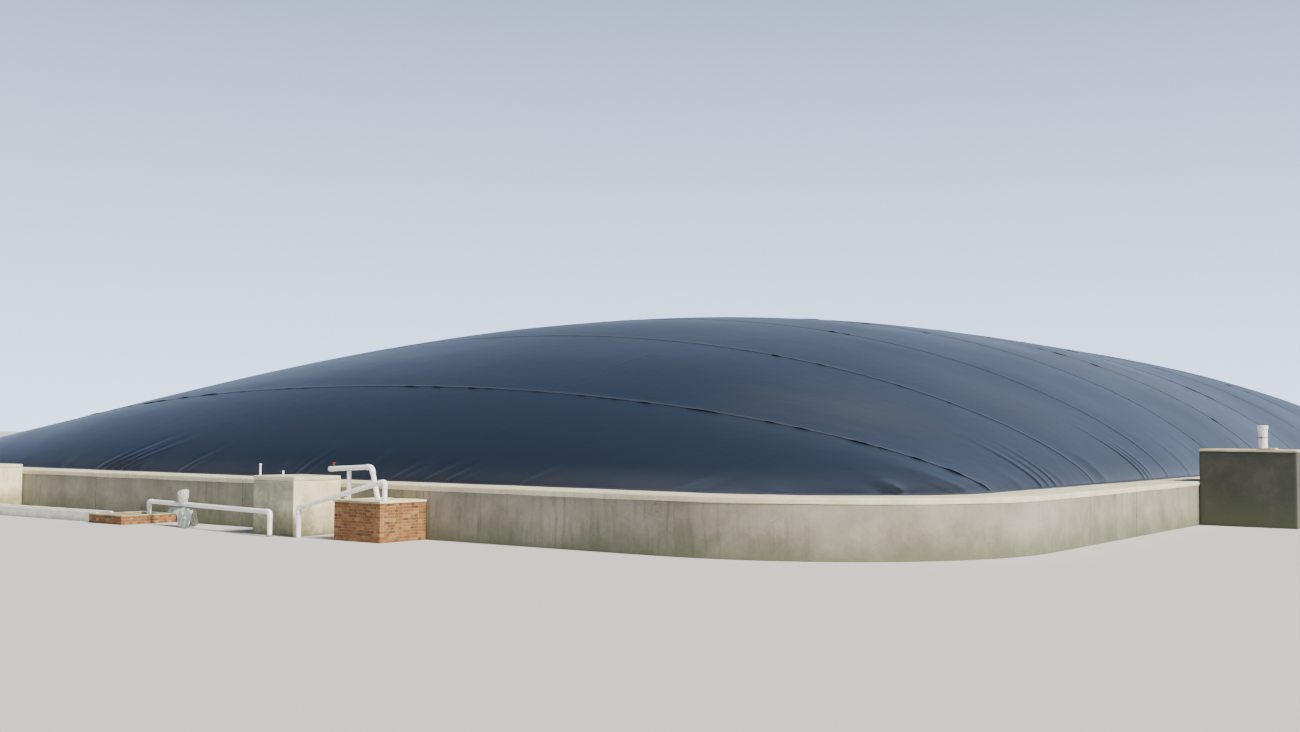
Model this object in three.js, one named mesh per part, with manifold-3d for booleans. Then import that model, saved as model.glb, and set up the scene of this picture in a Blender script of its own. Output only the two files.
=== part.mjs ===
// Covered-lagoon biogas digester as a 1:10 scale model.
// Millimetres, +Z up. +X runs along the basin, away from the end with the inlet chambers.
// One metre of the real plant is 100 mm here, and z = 0 is the ground that everything stands on.

import * as THREE from 'three';
import { mergeVertices } from 'three/addons/utils/BufferGeometryUtils.js';
import Module from 'manifold-3d';

const wasm = await Module();
wasm.setup();

// Clearance between pieces that touch.
const GAP = 0.3;

// The membrane cover: plan outline at its foot, rise, and the curves of its long and cross profiles.
const COVER_HALF_LENGTH = 4350;
const COVER_HALF_WIDTH = 2000;
const COVER_CORNER_RADIUS = 450;
const COVER_RISE = 632;
const COVER_THICKNESS = 8;
const LONG_PROFILE = { power: 3.26, roundness: 0.815 };
const CROSS_PROFILE = { power: 2.08, roundness: 0.734 };

// Membrane rolls are 7 m wide and run across the basin.
const STRIP_WIDTH = 700;
const STRIP_COUNT = 13;
const STEPS_ACROSS_COVER = 28;
const STEPS_PER_STRIP = 3;
const STEPS_PER_END_STRIP = 7;

// The concrete rim: an outer wall and the slab on it that anchors the cover's foot.
const RIM_HEIGHT = 120;
const RIM_LEDGE = 150;
const RIM_INNER_LEDGE = 30;
const RIM_WALL_THICKNESS = 40;
const RIM_SLAB_THICKNESS = 12;
const ARC_SEGMENTS = 12;

const RIM_HALF_LENGTH = COVER_HALF_LENGTH + RIM_LEDGE;
const RIM_HALF_WIDTH = COVER_HALF_WIDTH + RIM_LEDGE;
const RIM_CORNER_RADIUS = COVER_CORNER_RADIUS + RIM_LEDGE;
const FRONT_FACE = -RIM_HALF_LENGTH - GAP;
const RIGHT_FACE = -RIM_HALF_WIDTH - GAP;

// Chambers at the front end. right and left are Y limits, depth is measured out from the rim wall.
const CHAMBER_WALL = 24;
const INLET_BOX = { depth: 140, width: 140, top: 135, slab: 10, overhang: 0 };
const INLET_BOX_1_RIGHT = -665;
const INLET_BOX_2_RIGHT = 667;
const STUB_RADIUS = 2.5;
const STUB_TALL = { x: -4630, y: -536, height: 27 };
const STUB_SHORT = { x: -4632, y: -618, height: 12 };
const BRICK_CHAMBER = { depth: 140, right: -942, left: -798, top: 89, slab: 5, overhang: 1.5 };
const LOW_BOX = { depth: 160, right: -50, left: 90, top: 23, coping: 3, overhang: 1, wall: 18 };
const FEED_CHANNEL = { front: -4640, width: 50, height: 26, wall: 8, floor: 6 };

// Outlet chamber on the right long side.
const OUTLET = { front: -2710, length: 250, depth: 250, top: 210, slab: 6, overhang: 2 };
const VENT = { x: -2692, y: -2312, outer: 12.3, bore: 10.8, socket: 13.8, socketHeight: 10, height: 61 };
const VENT_PAD = { xMin: -2711, xMax: -2676, yMin: -2348, yMax: -2298, thickness: 4 };

// White plastic pipes, by the centre points of their bends and ends.
const PIPE_RADIUS = 5.5;
const LEG_RADIUS = 4.8;
const PIPE_SIDES = 12;
const BEND_RADIUS = 9;
const ELBOW_REACH = 15;
const STEP_LENGTH = 2.5;
const UPPER = { x: -4605, footY: -898, bendY: -877, bendZ: 161, capY: -743, capZ: 154, legY: -806 };
const TAP = { y: -756, bodyRadius: 2.4, bodyHeight: 6, handle: [2.6, 9, 2] };
const LOWER = { footX: -4620, footY: -934, bendZ: 131, endX: -4646, endY: -690, endZ: 68 };
// The left riser stands against the low box's wall.
const LEFT_FOOT_Y = LOW_BOX.right + LOW_BOX.wall + GAP + PIPE_RADIUS;
const LEFT = { footX: -4565, footY: LEFT_FOOT_Y, endX: -4665, endY: -615, runZ: 55 };

// Plastic film tied up round the valve on the left pipe: the knotted head as a lathe profile, and
// the film hanging over the pipe as an outline along it, thick at the ground and thin at the top.
const WRAP = { y: -206, clearance: 0.4, topThickness: 15, footThickness: 42, topHeight: 63 };
const WRAP_HEAD = [[6, 50], [8, 57], [7, 63], [11, 69], [14, 78], [12.5, 87], [7, 90], [0, 91]];
const WRAP_DRAPE = [[-60, 62], [-63, 36], [-8, 31], [13, 0.3], [80, 0.3], [84, 34], [62, 54], [24, 63]];

const MATERIALS = {
  membrane: new THREE.MeshStandardMaterial({ color: 0x2e3a4b, roughness: 0.5, metalness: 0 }),
  render: new THREE.MeshStandardMaterial({ color: 0x9a9688, roughness: 0.9, metalness: 0 }),
  kerb: new THREE.MeshStandardMaterial({ color: 0xd9d3bd, roughness: 0.85, metalness: 0 }),
  plaster: new THREE.MeshStandardMaterial({ color: 0xd6ccb0, roughness: 0.9, metalness: 0 }),
  brick: new THREE.MeshStandardMaterial({ color: 0xb0663f, roughness: 0.9, metalness: 0 }),
  pvc: new THREE.MeshStandardMaterial({ color: 0xf4f4f0, roughness: 0.35, metalness: 0 }),
  film: new THREE.MeshStandardMaterial({ color: 0xc9cdca, roughness: 0.45, metalness: 0 }),
  brass: new THREE.MeshStandardMaterial({ color: 0xb89a5a, roughness: 0.35, metalness: 1 }),
  redPaint: new THREE.MeshStandardMaterial({ color: 0xc63b3a, roughness: 0.4, metalness: 0 }),
};

const plant = new THREE.Group();

function addPiece(name, geometry, material) {
  const mesh = new THREE.Mesh(geometry, material);
  mesh.name = name;
  plant.add(mesh);
  return mesh;
}

// A plan outline raised from one height to another.
function prism(shape, bottom, top) {
  const geometry = new THREE.ExtrudeGeometry(shape, {
    depth: top - bottom,
    bevelEnabled: false,
    curveSegments: ARC_SEGMENTS,
  });
  return geometry.translate(0, 0, bottom);
}

function rectangle(xMin, xMax, yMin, yMax, outline = new THREE.Shape()) {
  outline.moveTo(xMin, yMin);
  outline.lineTo(xMax, yMin);
  outline.lineTo(xMax, yMax);
  outline.lineTo(xMin, yMax);
  outline.closePath();
  return outline;
}

// Four walls of even thickness round an open middle.
function wallRing(xMin, xMax, yMin, yMax, thickness) {
  const outline = rectangle(xMin, xMax, yMin, yMax);
  outline.holes.push(
    rectangle(xMin + thickness, xMax - thickness, yMin + thickness, yMax - thickness, new THREE.Path()),
  );
  return outline;
}

function toSolid(geometry) {
  const bare = new THREE.BufferGeometry();
  bare.setAttribute('position', geometry.getAttribute('position'));
  bare.setIndex(geometry.getIndex());
  const merged = mergeVertices(bare);
  return new wasm.Manifold(new wasm.Mesh({
    numProp: 3,
    vertProperties: new Float32Array(merged.getAttribute('position').array),
    triVerts: new Uint32Array(merged.getIndex().array),
  }));
}

function fromSolid(solid) {
  const mesh = solid.getMesh();
  const geometry = new THREE.BufferGeometry();
  geometry.setAttribute('position', new THREE.BufferAttribute(new Float32Array(mesh.vertProperties), 3));
  geometry.setIndex(new THREE.BufferAttribute(new Uint32Array(mesh.triVerts), 1));
  geometry.computeVertexNormals();
  return geometry;
}

// Membrane cover

function profileHeight(position, profile) {
  const reach = Math.min(Math.abs(position), 1);
  return (1 - reach ** profile.power) ** profile.roundness;
}

// Half the basin's width at a place along it, with the corners rounded in plan.
function halfWidthAt(x) {
  const intoCorner = Math.abs(x) - (COVER_HALF_LENGTH - COVER_CORNER_RADIUS);
  if (intoCorner <= 0) return COVER_HALF_WIDTH;
  const rest = COVER_CORNER_RADIUS ** 2 - Math.min(intoCorner, COVER_CORNER_RADIUS) ** 2;
  return COVER_HALF_WIDTH - COVER_CORNER_RADIUS + Math.sqrt(rest);
}

function coverPoint(x, across) {
  const height = profileHeight(x / COVER_HALF_LENGTH, LONG_PROFILE) * profileHeight(across, CROSS_PROFILE);
  return new THREE.Vector3(x, across * halfWidthAt(x), COVER_RISE * height);
}

// A point of the inner face: the outer one drawn in by the thickness at the foot and at the crown.
function innerPoint(outer) {
  return new THREE.Vector3(
    outer.x * (1 - COVER_THICKNESS / COVER_HALF_LENGTH),
    outer.y * (1 - COVER_THICKNESS / COVER_HALF_WIDTH),
    outer.z * (1 - COVER_THICKNESS / COVER_RISE),
  );
}

// One strip as a closed shell: outer face, inner face and the four narrow edges.
function stripGeometry(xMin, xMax, steps, easing) {
  const points = [];
  const rows = steps + 1;
  const columns = STEPS_ACROSS_COVER + 1;
  for (let row = 0; row < rows; row += 1) {
    const x = xMin + (xMax - xMin) * easing(row / steps);
    for (let column = 0; column < columns; column += 1) {
      points.push(coverPoint(x, -Math.cos(Math.PI * column / STEPS_ACROSS_COVER)));
    }
  }
  const inner = points.map(innerPoint);
  const offset = points.length;
  const vertex = (row, column) => row * columns + column;
  const faces = [];
  const addQuad = (a, b, c, d) => faces.push(a, b, c, a, c, d);
  for (let row = 0; row < steps; row += 1) {
    for (let column = 0; column < STEPS_ACROSS_COVER; column += 1) {
      const a = vertex(row, column);
      const b = vertex(row + 1, column);
      const c = vertex(row + 1, column + 1);
      const d = vertex(row, column + 1);
      addQuad(a, b, c, d);
      addQuad(offset + a, offset + d, offset + c, offset + b);
    }
  }
  const addEdge = (from, to) => addQuad(from, offset + from, offset + to, to);
  for (let row = 0; row < steps; row += 1) {
    addEdge(vertex(row, 0), vertex(row + 1, 0));
    addEdge(vertex(row + 1, columns - 1), vertex(row, columns - 1));
  }
  for (let column = 0; column < columns - 1; column += 1) {
    addEdge(vertex(0, column + 1), vertex(0, column));
    addEdge(vertex(steps, column), vertex(steps, column + 1));
  }
  const geometry = new THREE.BufferGeometry().setFromPoints([...points, ...inner]);
  geometry.setIndex(faces);
  geometry.computeVertexNormals();
  return geometry.translate(0, 0, RIM_HEIGHT + GAP);
}

const evenly = (t) => t;
// Rows crowd towards the foot of an end strip, where the cover is steepest.
const crowdStart = (t) => 1 - Math.cos(t * Math.PI / 2);
const crowdEnd = (t) => Math.sin(t * Math.PI / 2);

function addCover() {
  const middle = (STRIP_COUNT - 1) / 2;
  for (let strip = 0; strip < STRIP_COUNT; strip += 1) {
    const centre = (strip - middle) * STRIP_WIDTH;
    const first = strip === 0;
    const last = strip === STRIP_COUNT - 1;
    const xMin = first ? -COVER_HALF_LENGTH : centre - STRIP_WIDTH / 2 + GAP / 2;
    const xMax = last ? COVER_HALF_LENGTH : centre + STRIP_WIDTH / 2 - GAP / 2;
    const steps = first || last ? STEPS_PER_END_STRIP : STEPS_PER_STRIP;
    const easing = first ? crowdStart : last ? crowdEnd : evenly;
    const number = String(strip + 1).padStart(2, '0');
    addPiece(`cover_strip_${number}`, stripGeometry(xMin, xMax, steps, easing), MATERIALS.membrane);
  }
}

// Concrete rim

// Plan of one end of the rim with its two rounded corners, from the outer edge in by a width.
function rimEnd(width) {
  const cornerX = RIM_HALF_LENGTH - RIM_CORNER_RADIUS + GAP;
  const cornerY = RIM_HALF_WIDTH - RIM_CORNER_RADIUS;
  const outer = RIM_CORNER_RADIUS - GAP;
  const inner = RIM_CORNER_RADIUS - width;
  const outline = new THREE.Shape();
  outline.absarc(cornerX, -cornerY, outer, -Math.PI / 2, 0, false);
  outline.absarc(cornerX, cornerY, outer, 0, Math.PI / 2, false);
  outline.absarc(cornerX, cornerY, inner, Math.PI / 2, 0, true);
  outline.absarc(cornerX, -cornerY, inner, 0, -Math.PI / 2, true);
  return outline;
}

function addRimCourse(name, width, bottom, top, material) {
  const straight = RIM_HALF_LENGTH - RIM_CORNER_RADIUS;
  const side = rectangle(-straight, straight, RIM_HALF_WIDTH - width, RIM_HALF_WIDTH);
  addPiece(`${name}_back`, prism(rimEnd(width), bottom, top), material);
  addPiece(`${name}_front`, prism(rimEnd(width), bottom, top).rotateZ(Math.PI), material);
  addPiece(`${name}_left`, prism(side, bottom, top), material);
  addPiece(`${name}_right`, prism(side, bottom, top).rotateZ(Math.PI), material);
}

function addRim() {
  const slabBottom = RIM_HEIGHT - RIM_SLAB_THICKNESS;
  addRimCourse('rim_wall', RIM_WALL_THICKNESS, 0, slabBottom - GAP, MATERIALS.render);
  addRimCourse('rim_slab', RIM_LEDGE + RIM_INNER_LEDGE, slabBottom, RIM_HEIGHT, MATERIALS.kerb);
}

// Front chambers

function addInletBox(number, right) {
  const near = FRONT_FACE - INLET_BOX.depth;
  const left = right + INLET_BOX.width;
  const wallTop = INLET_BOX.top - INLET_BOX.slab;
  const walls = wallRing(near, FRONT_FACE, right, left, CHAMBER_WALL);
  addPiece(`inlet_box_${number}_walls`, prism(walls, 0, wallTop - GAP), MATERIALS.plaster);
  addPiece(
    `inlet_box_${number}_slab`,
    prism(rectangle(near, FRONT_FACE, right, left), wallTop, INLET_BOX.top),
    MATERIALS.plaster,
  );
}

function addStub(name, stub) {
  const geometry = new THREE.CylinderGeometry(STUB_RADIUS, STUB_RADIUS, stub.height, PIPE_SIDES);
  geometry.rotateX(Math.PI / 2);
  geometry.translate(stub.x, stub.y, INLET_BOX.top + GAP + stub.height / 2);
  addPiece(name, geometry, MATERIALS.pvc);
}

function addBrickChamber() {
  const near = FRONT_FACE - BRICK_CHAMBER.depth;
  const { right, left, overhang } = BRICK_CHAMBER;
  const wallTop = BRICK_CHAMBER.top - BRICK_CHAMBER.slab;
  const walls = wallRing(near, FRONT_FACE, right, left, CHAMBER_WALL);
  const slab = rectangle(near - overhang, FRONT_FACE, right - overhang, left + overhang);
  addPiece('brick_chamber_walls', prism(walls, 0, wallTop - GAP), MATERIALS.brick);
  addPiece('brick_chamber_slab', prism(slab, wallTop, BRICK_CHAMBER.top), MATERIALS.plaster);
}

function addLowBox() {
  const near = FRONT_FACE - LOW_BOX.depth;
  const { right, left, overhang, wall } = LOW_BOX;
  const wallTop = LOW_BOX.top - LOW_BOX.coping;
  const coping = wallRing(near - overhang, FRONT_FACE, right - overhang, left, wall);
  addPiece('low_box_walls', prism(wallRing(near, FRONT_FACE, right, left, wall), 0, wallTop - GAP), MATERIALS.brick);
  addPiece('low_box_coping', prism(coping, wallTop, LOW_BOX.top), MATERIALS.plaster);
}

// Open channel between the second inlet box and the low box, drawn as its end section.
function addFeedChannel() {
  const { front, width, height, wall, floor } = FEED_CHANNEL;
  const start = LOW_BOX.left + GAP;
  const length = INLET_BOX_2_RIGHT - GAP - start;
  const section = new THREE.Shape();
  section.moveTo(0, 0);
  section.lineTo(width, 0);
  section.lineTo(width, height);
  section.lineTo(width - wall, height);
  section.lineTo(width - wall, floor);
  section.lineTo(wall, floor);
  section.lineTo(wall, height);
  section.lineTo(0, height);
  section.closePath();
  const geometry = new THREE.ExtrudeGeometry(section, { depth: length, bevelEnabled: false });
  geometry.rotateX(Math.PI / 2);
  geometry.translate(front, start + length, 0);
  addPiece('feed_channel', geometry, MATERIALS.plaster);
}

// Outlet chamber

function addOutletChamber() {
  const { front, length, depth, top, slab, overhang } = OUTLET;
  const outerSide = RIGHT_FACE - depth;
  const walls = wallRing(front, front + length, outerSide, RIGHT_FACE, CHAMBER_WALL);
  const lid = rectangle(front - overhang, front + length + overhang, outerSide - overhang, RIGHT_FACE);
  addPiece('outlet_chamber_walls', prism(walls, 0, top - slab - GAP), MATERIALS.render);
  addPiece('outlet_chamber_slab', prism(lid, top - slab, top), MATERIALS.kerb);
  const pad = rectangle(VENT_PAD.xMin, VENT_PAD.xMax, VENT_PAD.yMin, VENT_PAD.yMax);
  const padTop = top + GAP + VENT_PAD.thickness;
  addPiece('vent_pad', prism(pad, top + GAP, padTop), MATERIALS.plaster);
  const profile = [
    new THREE.Vector2(VENT.bore, 0),
    new THREE.Vector2(VENT.outer, 0),
    new THREE.Vector2(VENT.outer, VENT.height - VENT.socketHeight),
    new THREE.Vector2(VENT.socket, VENT.height - VENT.socketHeight),
    new THREE.Vector2(VENT.socket, VENT.height),
    new THREE.Vector2(VENT.bore, VENT.height),
    new THREE.Vector2(VENT.bore, 0),
  ];
  const pipe = new THREE.LatheGeometry(profile, PIPE_SIDES * 2);
  pipe.rotateX(Math.PI / 2);
  pipe.translate(VENT.x, VENT.y, padTop + GAP);
  addPiece('vent_pipe', pipe, MATERIALS.pvc);
}

// Pipes

function circle(radius) {
  const outline = new THREE.Shape();
  outline.absarc(0, 0, radius, 0, Math.PI * 2, false);
  return outline;
}

function pipeAlong(path, radius) {
  const steps = Math.max(1, Math.round(path.getLength() / STEP_LENGTH));
  return new THREE.ExtrudeGeometry(circle(radius), {
    extrudePath: path,
    steps,
    curveSegments: PIPE_SIDES / 2,
    bevelEnabled: false,
  });
}

function straightPipe(start, end, radius = PIPE_RADIUS) {
  return new THREE.ExtrudeGeometry(circle(radius), {
    extrudePath: new THREE.LineCurve3(start, end),
    steps: 1,
    curveSegments: PIPE_SIDES / 2,
    bevelEnabled: false,
  });
}

// A straight length that ends in an elbow turned towards another point.
function pipeWithElbow(start, corner, towards) {
  const back = start.clone().sub(corner).normalize();
  const ahead = towards.clone().sub(corner).normalize();
  const bendStart = corner.clone().addScaledVector(back, BEND_RADIUS);
  const bendEnd = corner.clone().addScaledVector(ahead, BEND_RADIUS);
  const mouth = corner.clone().addScaledVector(ahead, ELBOW_REACH);
  const path = new THREE.CurvePath();
  path.add(new THREE.LineCurve3(start, bendStart));
  path.add(new THREE.QuadraticBezierCurve3(bendStart, corner, bendEnd));
  path.add(new THREE.LineCurve3(bendEnd, mouth));
  return { geometry: pipeAlong(path, PIPE_RADIUS), mouth: mouth.clone().addScaledVector(ahead, GAP) };
}

const point = (x, y, z) => new THREE.Vector3(x, y, z);

function addUpperPipe() {
  const deck = BRICK_CHAMBER.top + GAP;
  const foot = point(UPPER.x, UPPER.footY, deck);
  const bend = point(UPPER.x, UPPER.bendY, UPPER.bendZ);
  const cap = point(UPPER.x, UPPER.capY, UPPER.capZ);
  const drop = pipeWithElbow(foot.clone(), bend, cap);
  addPiece('upper_pipe_drop', cutBelow(drop.geometry, deck), MATERIALS.pvc);
  addPiece('upper_pipe_run', straightPipe(drop.mouth, cap), MATERIALS.pvc);
  const slope = (UPPER.bendZ - UPPER.capZ) / (UPPER.bendY - UPPER.capY);
  const runHeight = (y) => UPPER.bendZ + slope * (y - UPPER.bendY);
  const legTop = runHeight(UPPER.legY) - PIPE_RADIUS - 2 * GAP;
  const leg = straightPipe(point(UPPER.x, UPPER.legY, deck), point(UPPER.x, UPPER.legY, legTop), LEG_RADIUS);
  addPiece('upper_pipe_leg', leg, MATERIALS.pvc);
  const tapFoot = runHeight(TAP.y) + PIPE_RADIUS + GAP;
  const body = new THREE.CylinderGeometry(TAP.bodyRadius, TAP.bodyRadius, TAP.bodyHeight, PIPE_SIDES);
  body.rotateX(Math.PI / 2);
  body.translate(UPPER.x, TAP.y, tapFoot + TAP.bodyHeight / 2);
  addPiece('tap_body', body, MATERIALS.brass);
  const handle = new THREE.BoxGeometry(...TAP.handle);
  handle.translate(UPPER.x, TAP.y, tapFoot + TAP.bodyHeight + GAP + TAP.handle[2] / 2);
  addPiece('tap_handle', handle, MATERIALS.redPaint);
}

// Trims a leaning pipe flat where it stands.
function cutBelow(geometry, height) {
  const box = new THREE.Box3().setFromBufferAttribute(geometry.getAttribute('position'));
  const depth = PIPE_RADIUS * 4;
  const slab = new THREE.BoxGeometry(depth * 4, depth * 4, depth);
  slab.translate((box.min.x + box.max.x) / 2, (box.min.y + box.max.y) / 2, height - depth / 2);
  return fromSolid(toSolid(geometry).subtract(toSolid(slab)));
}

function addLowerPipe() {
  const foot = point(LOWER.footX, LOWER.footY, BRICK_CHAMBER.top + GAP);
  const top = point(LOWER.footX, LOWER.footY, LOWER.bendZ);
  const low = point(LOWER.endX, LOWER.endY, LOWER.endZ);
  const riser = pipeWithElbow(foot, top, low);
  const drop = pipeWithElbow(point(LOWER.endX, LOWER.endY, 0), low, top);
  addPiece('lower_pipe_riser', riser.geometry, MATERIALS.pvc);
  addPiece('lower_pipe_run', straightPipe(riser.mouth, drop.mouth), MATERIALS.pvc);
  addPiece('lower_pipe_drop', drop.geometry, MATERIALS.pvc);
}

// The valve half way along the left pipe is tied up in plastic film, which the pipe passes through.
function addLeftPipe() {
  const start = point(LEFT.footX, LEFT.footY, LEFT.runZ);
  const end = point(LEFT.endX, LEFT.endY, LEFT.runZ);
  const riser = pipeWithElbow(point(LEFT.footX, LEFT.footY, 0), start, end);
  const drop = pipeWithElbow(point(LEFT.endX, LEFT.endY, 0), end, start);
  addPiece('left_pipe_riser', riser.geometry, MATERIALS.pvc);
  addPiece('left_pipe_run', straightPipe(riser.mouth, drop.mouth), MATERIALS.pvc);
  addPiece('left_pipe_drop', drop.geometry, MATERIALS.pvc);
  const along = (WRAP.y - LEFT.footY) / (LEFT.endY - LEFT.footY);
  const x = LEFT.footX + along * (LEFT.endX - LEFT.footX);
  const turn = Math.atan2(end.x - start.x, start.y - end.y);
  const place = (geometry) => toSolid(geometry.rotateZ(turn).translate(x, WRAP.y, 0));
  const hole = straightPipe(start, end, PIPE_RADIUS + WRAP.clearance);
  const film = place(wrapDrape()).add(place(wrapHead())).subtract(toSolid(hole));
  addPiece('left_valve_wrap', fromSolid(film), MATERIALS.film);
}

function wrapHead() {
  const outline = [new THREE.Vector2(0, WRAP_HEAD[0][1])];
  WRAP_HEAD.forEach(([radius, height]) => outline.push(new THREE.Vector2(radius, height)));
  return new THREE.LatheGeometry(outline, PIPE_SIDES * 2).rotateX(Math.PI / 2);
}

// The drape's outline stands along -Y, and its thickness along X narrows towards the top.
function wrapDrape() {
  const outline = new THREE.Shape(WRAP_DRAPE.map(([reach, height]) => new THREE.Vector2(reach, height)));
  const geometry = new THREE.ExtrudeGeometry(outline, { depth: 1, bevelEnabled: false });
  geometry.translate(0, 0, -0.5).rotateX(Math.PI / 2).rotateZ(-Math.PI / 2);
  const corners = geometry.getAttribute('position');
  for (let corner = 0; corner < corners.count; corner += 1) {
    const fromTop = 1 - corners.getZ(corner) / WRAP.topHeight;
    const thickness = WRAP.topThickness + (WRAP.footThickness - WRAP.topThickness) * fromTop;
    corners.setX(corner, corners.getX(corner) * thickness);
  }
  return geometry;
}

addCover();
addRim();
addInletBox(1, INLET_BOX_1_RIGHT);
addInletBox(2, INLET_BOX_2_RIGHT);
addStub('inlet_stub_tall', STUB_TALL);
addStub('inlet_stub_short', STUB_SHORT);
addBrickChamber();
addLowBox();
addFeedChannel();
addOutletChamber();
addUpperPipe();
addLowerPipe();
addLeftPipe();

// The origin is the middle of the whole plant's footprint, on the ground.
const middle = new THREE.Box3().setFromObject(plant).getCenter(new THREE.Vector3());
plant.position.set(-middle.x, -middle.y, 0);

export default plant;
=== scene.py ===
"""Dresses the 1:10 model of a covered-lagoon biogas digester.

The plant is a long basin under an inflated membrane cover. A concrete rim holds the cover's foot, masonry
chambers stand at the front end and on the right side, and white pipes join them. All lengths are metres,
unless a name or comment says millimetres.
"""
from __future__ import annotations

import logging
import math
import random
from collections.abc import Callable, Iterable, Sequence
from dataclasses import dataclass, field
from enum import Enum
from functools import partial

import bmesh
import bpy
import numpy as np
from mathutils import Matrix, Vector, noise

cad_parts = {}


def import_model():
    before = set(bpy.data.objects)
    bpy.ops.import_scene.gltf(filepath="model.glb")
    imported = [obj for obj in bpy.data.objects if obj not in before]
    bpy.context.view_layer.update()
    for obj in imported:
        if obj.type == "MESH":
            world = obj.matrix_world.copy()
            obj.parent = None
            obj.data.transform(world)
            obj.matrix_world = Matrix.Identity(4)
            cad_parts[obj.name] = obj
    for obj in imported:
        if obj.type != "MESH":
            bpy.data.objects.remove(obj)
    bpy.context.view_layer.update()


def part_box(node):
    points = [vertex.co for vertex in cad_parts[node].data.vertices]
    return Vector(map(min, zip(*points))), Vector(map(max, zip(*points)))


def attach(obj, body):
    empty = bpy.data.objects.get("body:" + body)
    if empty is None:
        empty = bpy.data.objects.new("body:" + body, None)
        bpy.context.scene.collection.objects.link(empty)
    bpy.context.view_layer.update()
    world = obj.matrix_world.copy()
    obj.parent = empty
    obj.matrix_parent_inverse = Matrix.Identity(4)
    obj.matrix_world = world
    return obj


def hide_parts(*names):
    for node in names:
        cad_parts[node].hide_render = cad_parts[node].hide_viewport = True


log = logging.getLogger("biogas_digester")

MM = 0.001
BODY = "root"
UP = Vector((0.0, 0.0, 1.0))
QUARTER = math.pi / 2

# Angles over which an edge stays sharp in shading, and over which a block's edge is rounded.
SHARP_ANGLE = math.radians(38)
CORNER_ANGLE = 0.9

Array = np.ndarray
Mesh = bmesh.types.BMesh
Range = tuple[float, float]
Triple = tuple[float, float, float]
Row = tuple[float, ...]
Rows = tuple[Row, ...]
Profile = Sequence[Range]


# Finishes


def linear(hex_colour: str) -> tuple[float, float, float, float]:
    """Turns an sRGB hex colour such as 2E3A4B into the linear colour that a shader socket takes.

    Args:
        hex_colour: six hexadecimal digits.

    Returns:
        Red, green, blue and an alpha of 1.
    """
    channels = [int(hex_colour[start:start + 2], 16) / 255 for start in (0, 2, 4)]
    red, green, blue = (c / 12.92 if c <= 0.04045 else ((c + 0.055) / 1.055) ** 2.4 for c in channels)
    return red, green, blue, 1.0


def add_node(
    tree: bpy.types.NodeTree,
    kind: str,
    inputs: dict[str, object] | Sequence[object] = (),
    **settings: object,
) -> bpy.types.Node:
    """Adds one shader node, sets its properties, and fills or links its inputs.

    Args:
        tree: the node tree of the material or world.
        kind: Blender's name of the node type, after the word ShaderNode.
        inputs: the inputs by name, or a list of them in the node's order, as in a MapRange's value, From ends
            and To ends. Each is a value, an output socket, or a node, which gives its first output in use.
        settings: the node's own attributes, such as operation.

    Returns:
        The new node.
    """
    node = tree.nodes.new(f"ShaderNode{kind}")
    for name, value in settings.items():
        setattr(node, name, value)
    sockets = [socket for socket in node.inputs if socket.enabled]
    if isinstance(inputs, dict):
        named = {socket.name: socket for socket in sockets}
        sockets, inputs = [named[name] for name in inputs], list(inputs.values())
    for socket, value in zip(sockets, inputs):
        if isinstance(value, bpy.types.Node):
            value = next(output for output in value.outputs if output.enabled)
        if isinstance(value, bpy.types.NodeSocket):
            tree.links.new(value, socket)
        else:
            socket.default_value = value
    return node


def start_nodes(owner: bpy.types.Material | bpy.types.World) -> Callable[..., bpy.types.Node]:
    """Empties the node tree of a material or world.

    Args:
        owner: the material or world.

    Returns:
        add_node for that tree.
    """
    owner.use_nodes = True
    owner.node_tree.nodes.clear()
    return partial(add_node, owner.node_tree)


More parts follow.
